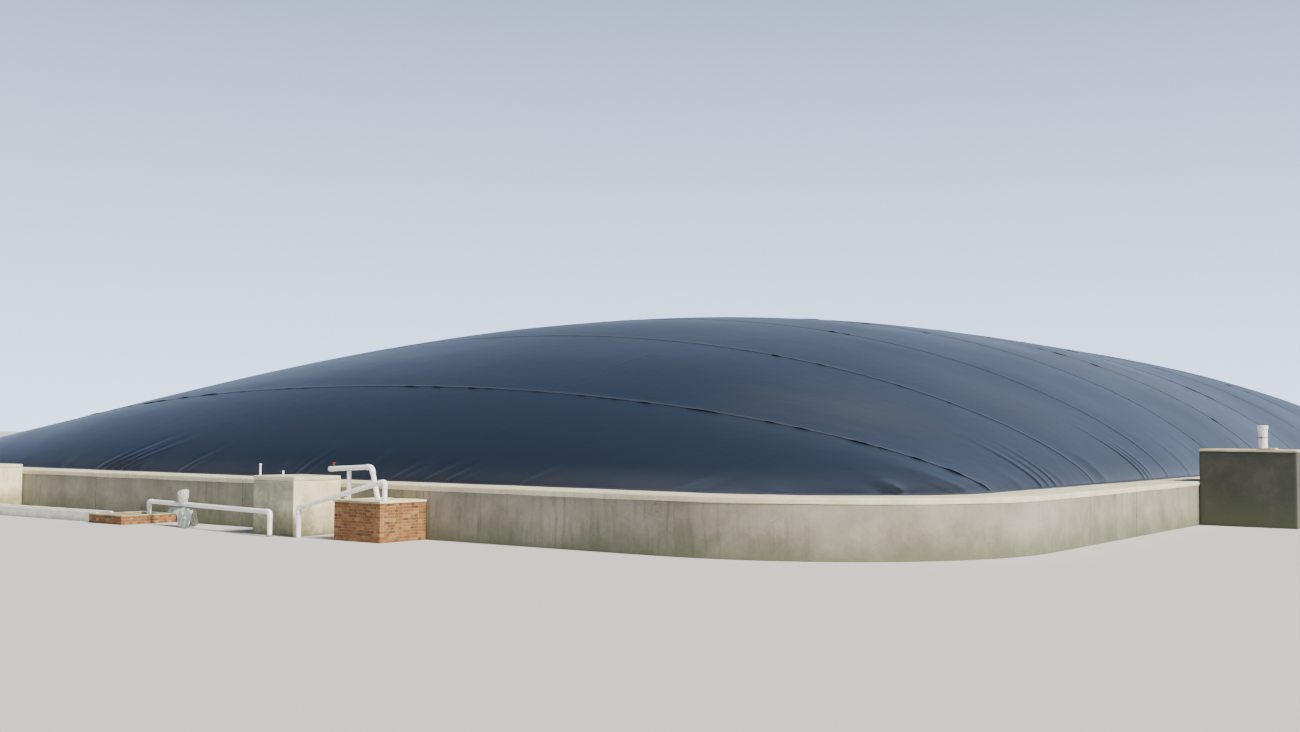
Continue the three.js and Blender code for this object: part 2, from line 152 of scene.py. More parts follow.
@dataclass(frozen=True)
class MembraneFinish:
    """Black high-density polyethylene geomembrane, blown film, welded by a hot wedge.

    Carbon black makes it nearly black. Its satin skin takes up a wide, soft, blue-grey sheen from the sky,
    and dry dust turns the flatter and higher parts a little brown and dull.
    """

    name: str = "polyethylene_membrane"
    skin: str = "0D1319"
    skin_pale: str = "161D26"
    dust: str = "6A655E"
    roughness: float = 0.31
    dusty_roughness: float = 0.39
    refraction: float = 1.48
    # Patches of dust, runs of rain down the slope, and the film's fine ripple.
    patch: float = 1.1
    run_width: float = 0.035
    run_length: float = 0.9
    run_share: float = 0.22
    ripple: float = 0.05
    ripple_depth: float = 0.9 * MM
    # How much one roll differs from the next.
    roll_change: float = 0.2
    # The values of the noise between which the skin turns pale, dust gathers and the film turns dull.
    pale_between: Range = (0.45, 1.0)
    dust_between: Range = (0.5, 0.8)
    least_dust: float = 0.35
    dull_between: Range = (0.35, 0.65)
    # The step of a weld catches a band of dust; the width is in millimetres on each side.
    weld_dust: float = 0.07
    weld_dust_width: float = 7.0
    # Heat from the wedge puckers the film beside each weld, to a reach in millimetres.
    pinch_length: float = 0.12
    pinch_width: float = 0.016
    pinch_reach: float = 42.0
    pinch_share: float = 1.2

    def make(self) -> bpy.types.Material:
        """Makes the material on Object coordinates and the numbers tint, dust and seam_mm of each vertex.

        Returns:
            The material.
        """
        material = bpy.data.materials.new(self.name)
        add = start_nodes(material)
        place = add("TexCoord").outputs["Object"]
        roll, dusty, from_weld = (
            add("Attribute", attribute_name=name).outputs["Fac"] for name in ("tint", "dust", "seam_mm")
        )
        patches = add("TexNoise", {
            "Vector": place, "Scale": 1 / self.patch, "Detail": 6.0, "Roughness": 0.62,
        })
        slope = (1 / self.run_width, 1 / self.run_length, 1 / self.run_length)
        stretched = add("Mapping", {"Vector": place, "Scale": slope})
        runs = add("TexNoise", {"Vector": stretched, "Scale": 1.0, "Detail": 3.0, "Roughness": 0.5})
        tone = add("Math", [runs, self.run_share, patches], operation="MULTIPLY_ADD")
        roll_tone = add("Math", [roll, self.roll_change, tone], operation="MULTIPLY_ADD")
        pale = add("MapRange", [roll_tone, *self.pale_between])
        skin = add("Mix", [pale, linear(self.skin), linear(self.skin_pale)], data_type="RGBA")
        broken = add("MapRange", [tone, *self.dust_between, self.least_dust, 1.0])
        settled = add("Math", [dusty, broken], operation="MULTIPLY")
        width = self.weld_dust_width
        caught = add("MapRange", [from_weld, width, 2 * width, self.weld_dust, 0.0])
        all_dust = add("Math", [settled, caught], operation="ADD")
        dusted = add("Mix", [all_dust, skin, linear(self.dust)], data_type="RGBA")
        dull = add("MapRange", [patches, *self.dull_between, self.roughness, self.dusty_roughness])
        ripples = add("TexNoise", {"Vector": place, "Scale": 1 / self.ripple, "Detail": 3.0})
        pinch = (1 / self.pinch_length, 1 / self.pinch_width, 1 / self.pinch_width)
        squeezed = add("Mapping", {"Vector": place, "Scale": pinch})
        pinches = add("TexNoise", {"Vector": squeezed, "Scale": 1.0, "Detail": 2.0})
        by_weld = add("MapRange", [from_weld, 0.0, self.pinch_reach, self.pinch_share, 0.0])
        relief = add("Math", [pinches, by_weld, ripples], operation="MULTIPLY_ADD")
        bump = add("Bump", {"Height": relief, "Distance": self.ripple_depth, "Strength": 0.6})
        shader = add("BsdfPrincipled", {
            "Base Color": dusted, "Roughness": dull, "Normal": bump, "IOR": self.refraction,
        })
        add("OutputMaterial", {"Surface": shader})
        return material


@dataclass(frozen=True)
class MineralFinish:
    """Cast concrete, cement render, plaster or mortar: matt and grainy, with blotches, runs and foot dirt.

    The grain breaks up the light, rain leaves dark runs under the edges, fine cracks wander over it, and
    splashes and algae darken the last few centimetres over the ground.
    """

    name: str
    face: str
    blotch: str
    stain: str
    moss: str = "5C6246"
    # Sizes at the model's scale: blotches, width and length of the runs, cracks, and the grain.
    blotch_size: float = 0.07
    blotch_depth: float = 0.8 * MM
    run_width: float = 0.012
    run_length: float = 0.1
    crack_size: float = 0.13
    crack_width: float = 0.35 * MM
    crack_bend: float = 0.05
    crack_amount: float = 0.75
    grain: float = 1.6 * MM
    grain_depth: float = 0.35 * MM
    speckle: Range = (0.86, 1.08)
    stain_amount: float = 0.5
    least_stain: float = 0.15
    foot_dirt: float = 0.5
    foot_height: float = 0.03
    # Painted shade: the faces that look away from the key light are mixed towards a darker grey, in patches.
    painted_shade_colour: str = "87917F"
    painted_shade_side: Triple = (-0.75, 0.66, 0.0)
    painted_shade_patches: float = 0.9
    painted_shade_amount: float = 0.0
    roughness: float = 0.86
    # The values of the noise between which each of them sets in.
    blotch_between: Range = (0.36, 0.66)
    painted_shade_between: Range = (0.8, 1.25)
    stain_between: Range = (0.44, 0.62)
    run_between: Range = (0.5, 0.74)
    crack_between: Range = (0.5, 0.56)
    grain_between: Range = (0.3, 0.7)

    def make(self) -> bpy.types.Material:
        """Makes the material on Object coordinates; the painted shade goes by the direction that a face looks
        in.

        Returns:
            The material.
        """
        material = bpy.data.materials.new(self.name)
        add = start_nodes(material)
        surface = add("TexCoord").outputs
        place = surface["Object"]
        height = add("SeparateXYZ", {"Vector": place}).outputs["Z"]
        blotches = add("TexNoise", {
            "Vector": place, "Scale": 1 / self.blotch_size, "Detail": 8.0, "Roughness": 0.66,
        })
        gathered = add("TexNoise", {"Vector": place, "Scale": 1 / (3 * self.blotch_size), "Detail": 3.0})
        grains = add("TexNoise", {"Vector": place, "Scale": 1 / self.grain, "Detail": 4.0})
        fall = (1 / self.run_width, 1 / self.run_width, 1 / self.run_length)
        stretched = add("Mapping", {"Vector": place, "Scale": fall})
        runs = add("TexNoise", {"Vector": stretched, "Scale": 1.0, "Detail": 5.0, "Roughness": 0.6})

        blotched = add("MapRange", [blotches, *self.blotch_between])
        dry = add("Mix", [blotched, linear(self.face), linear(self.blotch)], data_type="RGBA")
        # Painted shade: faces turned away from the key light are mixed towards the darker colour in patches;
        # dry is the colour before it.
        shaded = add("VectorMath", [surface["Normal"], self.painted_shade_side], operation="DOT_PRODUCT")
        patchy = add("Math", [blotches, self.painted_shade_patches, shaded], operation="MULTIPLY_ADD")
        painted_shade_share = add("MapRange", [patchy, *self.painted_shade_between, 0.0, self.painted_shade_amount])
        face = add("Mix", [painted_shade_share, dry, linear(self.painted_shade_colour)], data_type="RGBA")

        # Runs of rain, and cracks, which show only where dirt has gathered.
        most = add("MapRange", [
            gathered, *self.stain_between, self.least_stain * self.stain_amount, self.stain_amount,
        ])
        run_share = add("MapRange", [runs, *self.run_between, 0.0, most])
        bent = add(
            "VectorMath", [blotches.outputs["Color"], (self.crack_bend,) * 3, place], operation="MULTIPLY_ADD"
        )
        cells = add("TexVoronoi", {"Vector": bent, "Scale": 1 / self.crack_size}, feature="DISTANCE_TO_EDGE")
        crack = add("MapRange", [cells, 0.0, self.crack_width / self.crack_size, self.crack_amount, 0.0])
        here = add("MapRange", [gathered, *self.crack_between])
        cracked = add("Math", [crack, here], operation="MULTIPLY")
        worn = add("Math", [run_share, cracked], operation="MAXIMUM")
        stained = add("Mix", [worn, face, linear(self.stain)], data_type="RGBA")

        # Splashes and algae over the ground, with a ragged upper edge.
        ragged = add("Math", [blotches, -2.2 * self.foot_height, height], operation="MULTIPLY_ADD")
        low = add("MapRange", [ragged, -self.foot_height, self.foot_height * 0.6, self.foot_dirt, 0.0])
        dirty = add("Mix", [low, stained, linear(self.moss)], data_type="RGBA")

        speckles = add("MapRange", [grains, *self.grain_between, *self.speckle])
        coloured = add("VectorMath", [dirty, speckles], operation="SCALE")
        coarse = add("Bump", {"Height": blotches, "Distance": self.blotch_depth, "Strength": 0.5})
        bump = add("Bump", {
            "Height": grains, "Distance": self.grain_depth, "Strength": 0.7, "Normal": coarse,
        })
        shader = add("BsdfPrincipled", {"Base Color": coloured, "Roughness": self.roughness, "Normal": bump})
        add("OutputMaterial", {"Surface": shader})
        return material


@dataclass(frozen=True)
class BrickFinish:
    """Fired red clay brick, wire-cut: a sandy matt face whose colour changes from brick to brick."""

    name: str = "fired_clay_brick"
    pale: str = "A07546"
    red: str = "86522F"
    burnt: str = "5A3E2B"
    lime: str = "B29C72"
    sand: float = 0.9 * MM
    sand_depth: float = 0.3 * MM
    roughness: float = 0.9
    # A brick's number between which it turns red, and burnt; lime is smeared on in patches.
    red_between: Range = (0.0, 0.45)
    burnt_between: Range = (0.65, 1.0)
    smear: float = 0.011
    smear_between: Range = (0.54, 0.72)
    smear_amount: float = 0.55

    def make(self) -> bpy.types.Material:
        """Makes the material; it reads Object coordinates and each brick's own number tint.

        Returns:
            The material.
        """
        material = bpy.data.materials.new(self.name)
        add = start_nodes(material)
        place = add("TexCoord").outputs["Object"]
        tint = add("Attribute", attribute_name="tint").outputs["Fac"]
        redder = add("MapRange", [tint, *self.red_between])
        red = add("Mix", [redder, linear(self.pale), linear(self.red)], data_type="RGBA")
        darker = add("MapRange", [tint, *self.burnt_between])
        burnt = add("Mix", [darker, red, linear(self.burnt)], data_type="RGBA")
        smears = add("TexNoise", {"Vector": place, "Scale": 1 / self.smear, "Detail": 5.0, "Roughness": 0.7})
        lime_share = add("MapRange", [smears, *self.smear_between, 0.0, self.smear_amount])
        limed = add("Mix", [lime_share, burnt, linear(self.lime)], data_type="RGBA")
        sand = add("TexNoise", {"Vector": place, "Scale": 1 / self.sand, "Detail": 3.0})
        bump = add("Bump", {"Height": sand, "Distance": self.sand_depth, "Strength": 0.8})
        shader = add("BsdfPrincipled", {"Base Color": limed, "Roughness": self.roughness, "Normal": bump})
        add("OutputMaterial", {"Surface": shader})
        return material


@dataclass(frozen=True)
class PlasticFinish:
    """A plastic moulding, pipe or film: even colour, a satin skin, and a little dirt that dulls it.

    Extruded PVC pipe is bright white and slightly glossy. The film is milky and crumpled, and lets some
    light through.
    """

    name: str
    face: str
    dirt: str
    dirt_amount: float = 0.35
    dirt_size: float = 0.018
    dirt_between: Range = (0.48, 0.75)
    roughness: float = 0.32
    dirt_roughness: float = 0.25
    dull_between: Range = (0.3, 0.75)
    refraction: float = 1.53
    scratch: float = 0.6 * MM
    bump_depth: float = 0.05 * MM
    see_through: float = 0.0
    # How much of the light goes into the plastic, and how far it spreads there.
    scatter: float = 0.0
    scatter_depth: float = 4.0 * MM

    def make(self) -> bpy.types.Material:
        """Makes the material on Object coordinates.

        Returns:
            The material.
        """
        material = bpy.data.materials.new(self.name)
        add = start_nodes(material)
        place = add("TexCoord").outputs["Object"]
        smudges = add("TexNoise", {
            "Vector": place, "Scale": 1 / self.dirt_size, "Detail": 6.0, "Roughness": 0.65,
        })
        dirt_share = add("MapRange", [smudges, *self.dirt_between, 0.0, self.dirt_amount])
        colour = add("Mix", [dirt_share, linear(self.face), linear(self.dirt)], data_type="RGBA")
        dull = add("MapRange", [
            smudges, *self.dull_between, self.roughness, self.roughness + self.dirt_roughness,
        ])
        marks = add("TexNoise", {"Vector": place, "Scale": 1 / self.scratch, "Detail": 2.0})
        bump = add("Bump", {"Height": marks, "Distance": self.bump_depth, "Strength": 0.5})
        shader = add("BsdfPrincipled", {
            "Base Color": colour, "Roughness": dull, "Normal": bump, "IOR": self.refraction,
            "Transmission Weight": self.see_through, "Subsurface Weight": self.scatter,
            "Subsurface Radius": (1.0, 1.0, 1.0), "Subsurface Scale": self.scatter_depth,
        })
        add("OutputMaterial", {"Surface": shader})
        return material


@dataclass(frozen=True)
class BrassFinish:
    """Sand-cast yellow brass, dulled outdoors: warm metal with darker tarnish in patches."""

    name: str = "cast_brass"
    bright: str = "B59A5F"
    tarnish: str = "6E5A34"
    patch: float = 3.0 * MM
    roughness: Range = (0.25, 0.6)

    def make(self) -> bpy.types.Material:
        """Makes the material on Object coordinates.

        Returns:
            The material.
        """
        material = bpy.data.materials.new(self.name)
        add = start_nodes(material)
        place = add("TexCoord").outputs["Object"]
        patches = add("TexNoise", {"Vector": place, "Scale": 1 / self.patch, "Detail": 4.0})
        colour = add("Mix", [patches, linear(self.bright), linear(self.tarnish)], data_type="RGBA")
        dull = add("MapRange", [patches, 0.0, 1.0, *self.roughness])
        shader = add("BsdfPrincipled", {"Base Color": colour, "Roughness": dull, "Metallic": 1.0})
        add("OutputMaterial", {"Surface": shader})
        return material


class Finish(Enum):
    """The finishes of the plant's surfaces, each with the record's slot that it belongs to."""

    MEMBRANE = ("membrane", MembraneFinish())
    RENDER = ("rendered_wall", MineralFinish(
        "weathered_cement_render", face="A39D8C", blotch="868070", stain="4F4A40",
        blotch_size=0.11, stain_amount=0.6, foot_dirt=0.7, foot_height=0.04,
    ))
    # The darker grey on the faces that look away from the key light is painted shade.
    OUTLET_RENDER = ("rendered_wall", MineralFinish(
        "brown_cement_render", face="605F56", blotch="4B4A43", stain="31302B",
        blotch_size=0.09, stain_amount=0.45, foot_dirt=0.6, foot_height=0.05, painted_shade_colour="42473D", painted_shade_amount=0.55,
    ))
    KERB = ("kerb_concrete", MineralFinish(
        "cast_kerb_concrete", face="E2D9BA", blotch="CCC19E", stain="8C8470",
        blotch_size=0.08, stain_amount=0.4, foot_dirt=0.0,
    ))
    # The darker grey on the faces that look away from the key light is painted shade.
    PLASTER = ("plaster", MineralFinish(
        "stained_lime_plaster", face="F1E5BC", blotch="DCCDA0", stain="6F6348", moss="5F5740",
        blotch_size=0.045, run_width=0.01, run_length=0.05, stain_amount=0.6, foot_dirt=0.8,
        foot_height=0.042, painted_shade_amount=0.85,
    ))
    LIMEWASH = ("plaster", MineralFinish(
        "limewashed_plaster", face="FAF8EE", blotch="E9E5D2", stain="8E876C", moss="8A8664",
        blotch_size=0.03, run_width=0.008, run_length=0.02, stain_amount=0.35, foot_dirt=0.6,
        foot_height=0.008,
    ))
    BRICK = ("brick", BrickFinish())
    MORTAR = ("brick", MineralFinish(
        "sand_lime_mortar", face="A2926C", blotch="8C7D5A", stain="6C614C",
        blotch_size=0.02, stain_amount=0.4, foot_dirt=0.4, foot_height=0.015, grain=1.0 * MM,
    ))
    PVC = ("pvc", PlasticFinish(
        "extruded_white_pvc", face="F8F8F3", dirt="B9B4A4", dirt_amount=0.2, scatter=0.5,
    ))
    FILM = ("plastic_film", PlasticFinish(
        "milky_polythene_film", face="D6DACB", dirt="8C9680", dirt_amount=0.5, dirt_size=0.014,
        roughness=0.15, see_through=0.3, scratch=2.6 * MM, bump_depth=0.5 * MM,
    ))
    TWINE = ("plastic_film", PlasticFinish(
        "grey_tie_twine", face="8F8D80", dirt="5E5B50", roughness=0.6, bump_depth=0.1 * MM,
    ))
    STRAP = ("plastic_film", PlasticFinish(
        "black_rubber_strap", face="2A2A2A", dirt="6A675F", roughness=0.6, bump_depth=0.1 * MM,
    ))
    BRASS = ("tap_brass", BrassFinish())
    LEVER = ("tap_handle_red", PlasticFinish(
        "red_dipped_lever_grip", face="C6283A", dirt="7C3A3A", dirt_amount=0.4, dirt_size=0.004,
        roughness=0.4,
    ))

    @property
    def slot(self) -> str:
        """The record's material slot."""
        return self.value[0]

    def material(self) -> bpy.types.Material:
        """The finish's material, made when it is first asked for."""
        made = bpy.data.materials.get(self.value[1].name)
        return made or self.value[1].make()


# Shaping


def noise_at(points: Array, size: float, seed: float) -> Array:
    """Gives smooth noise at many points.

    Args:
        points: one row of three coordinates for each point.
        size: how far apart the noise's lumps are.
        seed: moves the pattern.

    Returns:
        One value from about -1 to 1 for each point.
    """
    shift = Vector((seed * 7.31, seed * -3.77, seed * 5.13))
    return np.array([noise.noise(Vector(point) / size + shift) for point in points])


def ease(value: Array, start: float, end: float) -> Array:
    """Rises smoothly from 0 at start to 1 at end.

    Args:
        value: the values to ease.
        start: where the rise begins.
        end: where it ends.

    Returns:
        The eased values.
    """
    part = np.clip((value - start) / (end - start), 0.0, 1.0)
    return part * part * (3.0 - 2.0 * part)


def points_of(shape: Mesh) -> Array:
    """The places of a mesh's vertices, one row each."""
    return np.array([vertex.co[:] for vertex in shape.verts])


def unit_grid(shape: Mesh, across: int, along: int) -> tuple[Array, Array]:
    """Adds a flat grid whose two coordinates each run from 0 to 1.

    Args:
        shape: the mesh that the grid goes into.
        across: cells in the first direction.
        along: cells in the second direction.

    Returns:
        Each vertex's two coordinates.
    """
    bmesh.ops.create_grid(shape, x_segments=across, y_segments=along, size=0.5)
    flat = points_of(shape)[:, :2]
    flat = (flat - flat.min(axis=0)) / (flat.max(axis=0) - flat.min(axis=0))
    return flat[:, 0], flat[:, 1]


def move_to(shape: Mesh, points: Array) -> None:
    """Moves a mesh's vertices to the given points, in order."""
    for vertex, point in zip(shape.verts, points):
        vertex.co = point


def mark(shape: Mesh, name: str, values: Iterable[float]) -> None:
    """Stores one number for each vertex under a name that a finish reads.

    Args:
        shape: the mesh.
        name: the numbers' name.
        values: the numbers, in the vertices' order.
    """
    layer = shape.verts.layers.float.new(name)
    for vertex, value in zip(shape.verts, values):
        vertex[layer] = value


def merge_in(target: Mesh, other: Mesh) -> None:
    """Moves one mesh into another and frees it.

    Args:
        target: the mesh that takes it up.
        other: the mesh that is freed.
    """
    mesh = bpy.data.meshes.new("part")
    other.to_mesh(mesh)
    other.free()
    target.from_mesh(mesh)
    bpy.data.meshes.remove(mesh)


def roughen(shape: Mesh, amplitude: float, size: float, seed: float = 1.0) -> None:
    """Makes a surface uneven by moving each vertex a little along its normal.

    Args:
        shape: the mesh.
        amplitude: the furthest move.
        size: how far apart the lumps are.
        seed: moves the pattern.
    """
    shape.normal_update()
    for vertex, amount in zip(shape.verts, noise_at(points_of(shape), size, seed)):
        vertex.co += vertex.normal * (amount * amplitude)


@dataclass(frozen=True)
class Wear:
    """How worn a block or wall is.

    Its edges are rounded to a radius, its faces are cut into cells of about one size, and then stray.
    """

    edge: float
    cell: float
    rough: float

    def apply(self, shape: Mesh, low: Vector, high: Vector, seed: float = 1.0) -> None:
        """Wears a mesh down.

        Args:
            shape: the mesh.
            low: its lowest corner.
            high: its highest corner.
            seed: moves the unevenness.
        """
        for axis in range(3):
            count = max(1, round((high[axis] - low[axis]) / self.cell))
            normal = Vector((0.0, 0.0, 0.0))
            normal[axis] = 1.0
            for step in range(1, count):
                spot = low.copy()
                spot[axis] = low[axis] + (high[axis] - low[axis]) * step / count
                parts = shape.verts[:] + shape.edges[:] + shape.faces[:]
                bmesh.ops.bisect_plane(shape, geom=parts, plane_co=spot, plane_no=normal)
        edges = [
            edge for edge in shape.edges
            if len(edge.link_faces) == 2 and edge.calc_face_angle() > CORNER_ANGLE
        ]
        bmesh.ops.bevel(
            shape, geom=edges, offset=self.edge, segments=2, profile=0.5, affect="EDGES", material=-1,
            clamp_overlap=True,
        )
        roughen(shape, self.rough, self.cell * 4, seed)


def foot_centre(low: Vector, high: Vector) -> Vector:
    """The middle of a box's lowest face."""
    return Vector(((low.x + high.x) / 2, (low.y + high.y) / 2, low.z))


def block(low: Vector, high: Vector, wear: Wear, seed: float = 1.0) -> Mesh:
    """Makes a rectangular block with rounded edges and uneven faces.

    Args:
        low: the lowest corner.
        high: the highest corner.
        wear: how worn it is.
        seed: moves the unevenness.

    Returns:
        The block.
    """
    shape = bmesh.new()
    place = Matrix.Translation((low + high) / 2) @ Matrix.Diagonal((*(high - low), 1.0))
    bmesh.ops.create_cube(shape, size=1.0, matrix=place)
    wear.apply(shape, low, high, seed)
    return shape


def wall_ring(low: Vector, high: Vector, wall: float, wear: Wear) -> Mesh:
    """Makes four walls round an open middle, with rounded edges and uneven faces.

    Args:
        low: the lowest corner of the outside.
        high: the highest corner of the outside.
        wall: the thickness of the walls.
        wear: how worn they are.

    Returns:
        The walls.
    """
    shape = bmesh.new()
    centre = foot_centre(low, high)
    place = Matrix.Translation(centre) @ Matrix.Diagonal((high.x - low.x, high.y - low.y, 1.0, 1.0))
    bmesh.ops.create_grid(shape, x_segments=1, y_segments=1, size=0.5, matrix=place)
    bmesh.ops.inset_region(
        shape, faces=shape.faces[:], thickness=wall, use_even_offset=True, use_boundary=True
    )
    middle = min(shape.faces, key=lambda face: (face.calc_center_median() - centre).length)
    bmesh.ops.delete(shape, geom=[middle], context="FACES")
    raised = bmesh.ops.extrude_face_region(shape, geom=shape.faces[:])
    tops = [item for item in raised["geom"] if isinstance(item, bmesh.types.BMVert)]
    bmesh.ops.translate(shape, verts=tops, vec=UP * (high.z - low.z))
    bmesh.ops.recalc_face_normals(shape, faces=shape.faces[:])
    wear.apply(shape, low, high)
    return shape


def skin_rings(shape: Mesh, rings: Sequence[Sequence[Vector]]) -> None:
    """Joins closed rings of points into one closed skin with filled ends.

    Args:
        shape: the mesh that the skin goes into.
        rings: the rings in order, with equal counts of points.
    """
    made: list[list[bmesh.types.BMEdge]] = []
    for ring in rings:
        corners = [shape.verts.new(point) for point in ring]
        made.append([shape.edges.new(pair) for pair in zip(corners, corners[1:] + corners[:1])])
    faces: list[bmesh.types.BMFace] = []
    for first, second in zip(made, made[1:]):
        faces += bmesh.ops.bridge_loops(shape, edges=first + second)["faces"]
    for ends in (made[0], made[-1]):
        faces += bmesh.ops.contextual_create(shape, geom=ends)["faces"]
    bmesh.ops.recalc_face_normals(shape, faces=faces)


def add_lathe(
    shape: Mesh, base: Vector, heading: Vector, profile: Profile, sides: int = 32
) -> None:
    """Adds a turned piece: a profile of radius and distance, spun round an axis.

    Args:
        shape: the mesh that the piece goes into.
        base: the axis's starting point.
        heading: the axis's direction.
        profile: pairs of radius and distance, which start and end on the axis or else close on themselves.
        sides: the faces round the piece.
    """
    side = heading.orthogonal().normalized()
    before = set(shape.verts)
    corners = [shape.verts.new(base + side * radius + heading * reach) for radius, reach in profile]
    edges = [shape.edges.new(pair) for pair in zip(corners, corners[1:])]
    if profile[0][0] > 0:
        edges.append(shape.edges.new((corners[-1], corners[0])))
    bmesh.ops.spin(
        shape, geom=corners + edges, cent=base, axis=heading, angle=math.tau, steps=sides, use_merge=True
    )
    new = [vertex for vertex in shape.verts if vertex not in before]
    bmesh.ops.remove_doubles(shape, verts=new, dist=0.01 * MM)
    new = [vertex for vertex in shape.verts if vertex not in before]
    faces = list({face for vertex in new for face in vertex.link_faces})
    bmesh.ops.recalc_face_normals(shape, faces=faces)


def add_tube(shape: Mesh, points: Sequence[Vector], radius: float, sides: int) -> None:
    """Adds a round bar along a path of points.

    Args:
        shape: the mesh that the bar goes into.
        points: the path.
        radius: the bar's radius.
        sides: the faces round the bar.
    """
    headings = [(after - before).normalized() for before, after in zip(points, points[1:])]
    turns = [headings[0], *[(a + b).normalized() for a, b in zip(headings, headings[1:])], headings[-1]]
    angles = [math.tau * step / sides for step in range(sides)]
    side = headings[0].orthogonal().normalized()
    rings = []
    for point, heading in zip(points, turns):
        side = (side - heading * side.dot(heading)).normalized()
        other = heading.cross(side)
        rings.append([point + (side * math.cos(turn) + other * math.sin(turn)) * radius for turn in angles])
    skin_rings(shape, rings)


def give_thickness(piece: bpy.types.Object, thickness: float, offset: float = -1.0) -> None:
    """Gives a film its thickness.

    Args:
        piece: the film.
        thickness: its thickness.
        offset: -1 for inwards from its face, 0 for both ways.
    """
    shell = piece.modifiers.new("thickness", "SOLIDIFY")
    shell.thickness = thickness
    shell.offset = offset


def finish_piece(
    name: str,
    shape: Mesh,
    finish: Finish,
    replaced: Iterable[str] = (),
) -> bpy.types.Object:
    """Turns a mesh into a piece of the plant that rides on its body.

    Args:
        name: the piece's name.
        shape: the mesh, which is freed.
        finish: the piece's finish.
        replaced: the plain nodes that the piece stands for.

    Returns:
        The piece.
    """
    mesh = bpy.data.meshes.new(name)
    shape.edges.index_update()
    free_edges = [edge.index for edge in shape.edges if edge.is_boundary]
    shape.to_mesh(mesh)
    shape.free()
    mesh.shade_smooth()
    mesh.set_sharp_from_angle(angle=SHARP_ANGLE)
    # A film's free edges stay crisp when it is given its thickness.
    for index in free_edges:
        mesh.edges[index].use_edge_sharp = True
    piece = bpy.data.objects.new(name, mesh)
    bpy.context.scene.collection.objects.link(piece)
    mesh.materials.append(finish.material())
    nodes = list(replaced)
    if nodes:
        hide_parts(*nodes)
    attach(piece, BODY)
    log.info("%s: %d faces", name, len(mesh.polygons))
    return piece


def finish_walls(name: str, node: str, finish: Finish, wall: float, wear: Wear) -> None:
    """Builds four walls where a plain node is.

    Args:
        name: the piece's name.
        node: the node that the piece stands for.
        finish: the piece's finish.
        wall: the thickness of the walls.
        wear: how worn they are.
    """
    low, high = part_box(node)
    finish_piece(name, wall_ring(low, high, wall, wear), finish, [node])


def finish_block(name: str, node: str, finish: Finish, wear: Wear, seed: float) -> None:
    """Builds a block where a plain node is.

    Args:
        name: the piece's name.
        node: the node that the piece stands for.
        finish: the piece's finish.
        wear: how worn it is.
        seed: moves the unevenness.
    """
    low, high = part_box(node)
    finish_piece(name, block(low, high, wear, seed), finish, [node])


# The plant


@dataclass(frozen=True)
class PlantAxes:
    """The plant's own axes: the middle of the basin on the ground, as the frame places it."""

    middle: Vector
    slab_top: float

    @classmethod
    def from_frame(cls) -> PlantAxes:
        """Reads the axes from the rim's four slabs.

        Returns:
            The axes.
        """
        front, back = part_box("rim_slab_front")[0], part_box("rim_slab_back")[1]
        right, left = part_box("rim_slab_right")[0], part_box("rim_slab_left")[1]
        return cls(Vector(((front.x + back.x) / 2, (right.y + left.y) / 2, 0.0)), back.z)

    def at(self, x: float, y: float, z: float) -> Vector:
        """A point given in the plant's axes, in the frame."""
        return self.middle + Vector((x, y, z))


@dataclass(frozen=True)
class Fold:
    """A pucker in the cover, running up the slope from its foot."""

    x: float
    y: float
    heading_x: float
    heading_y: float
    width: float
    length: float
    height: float


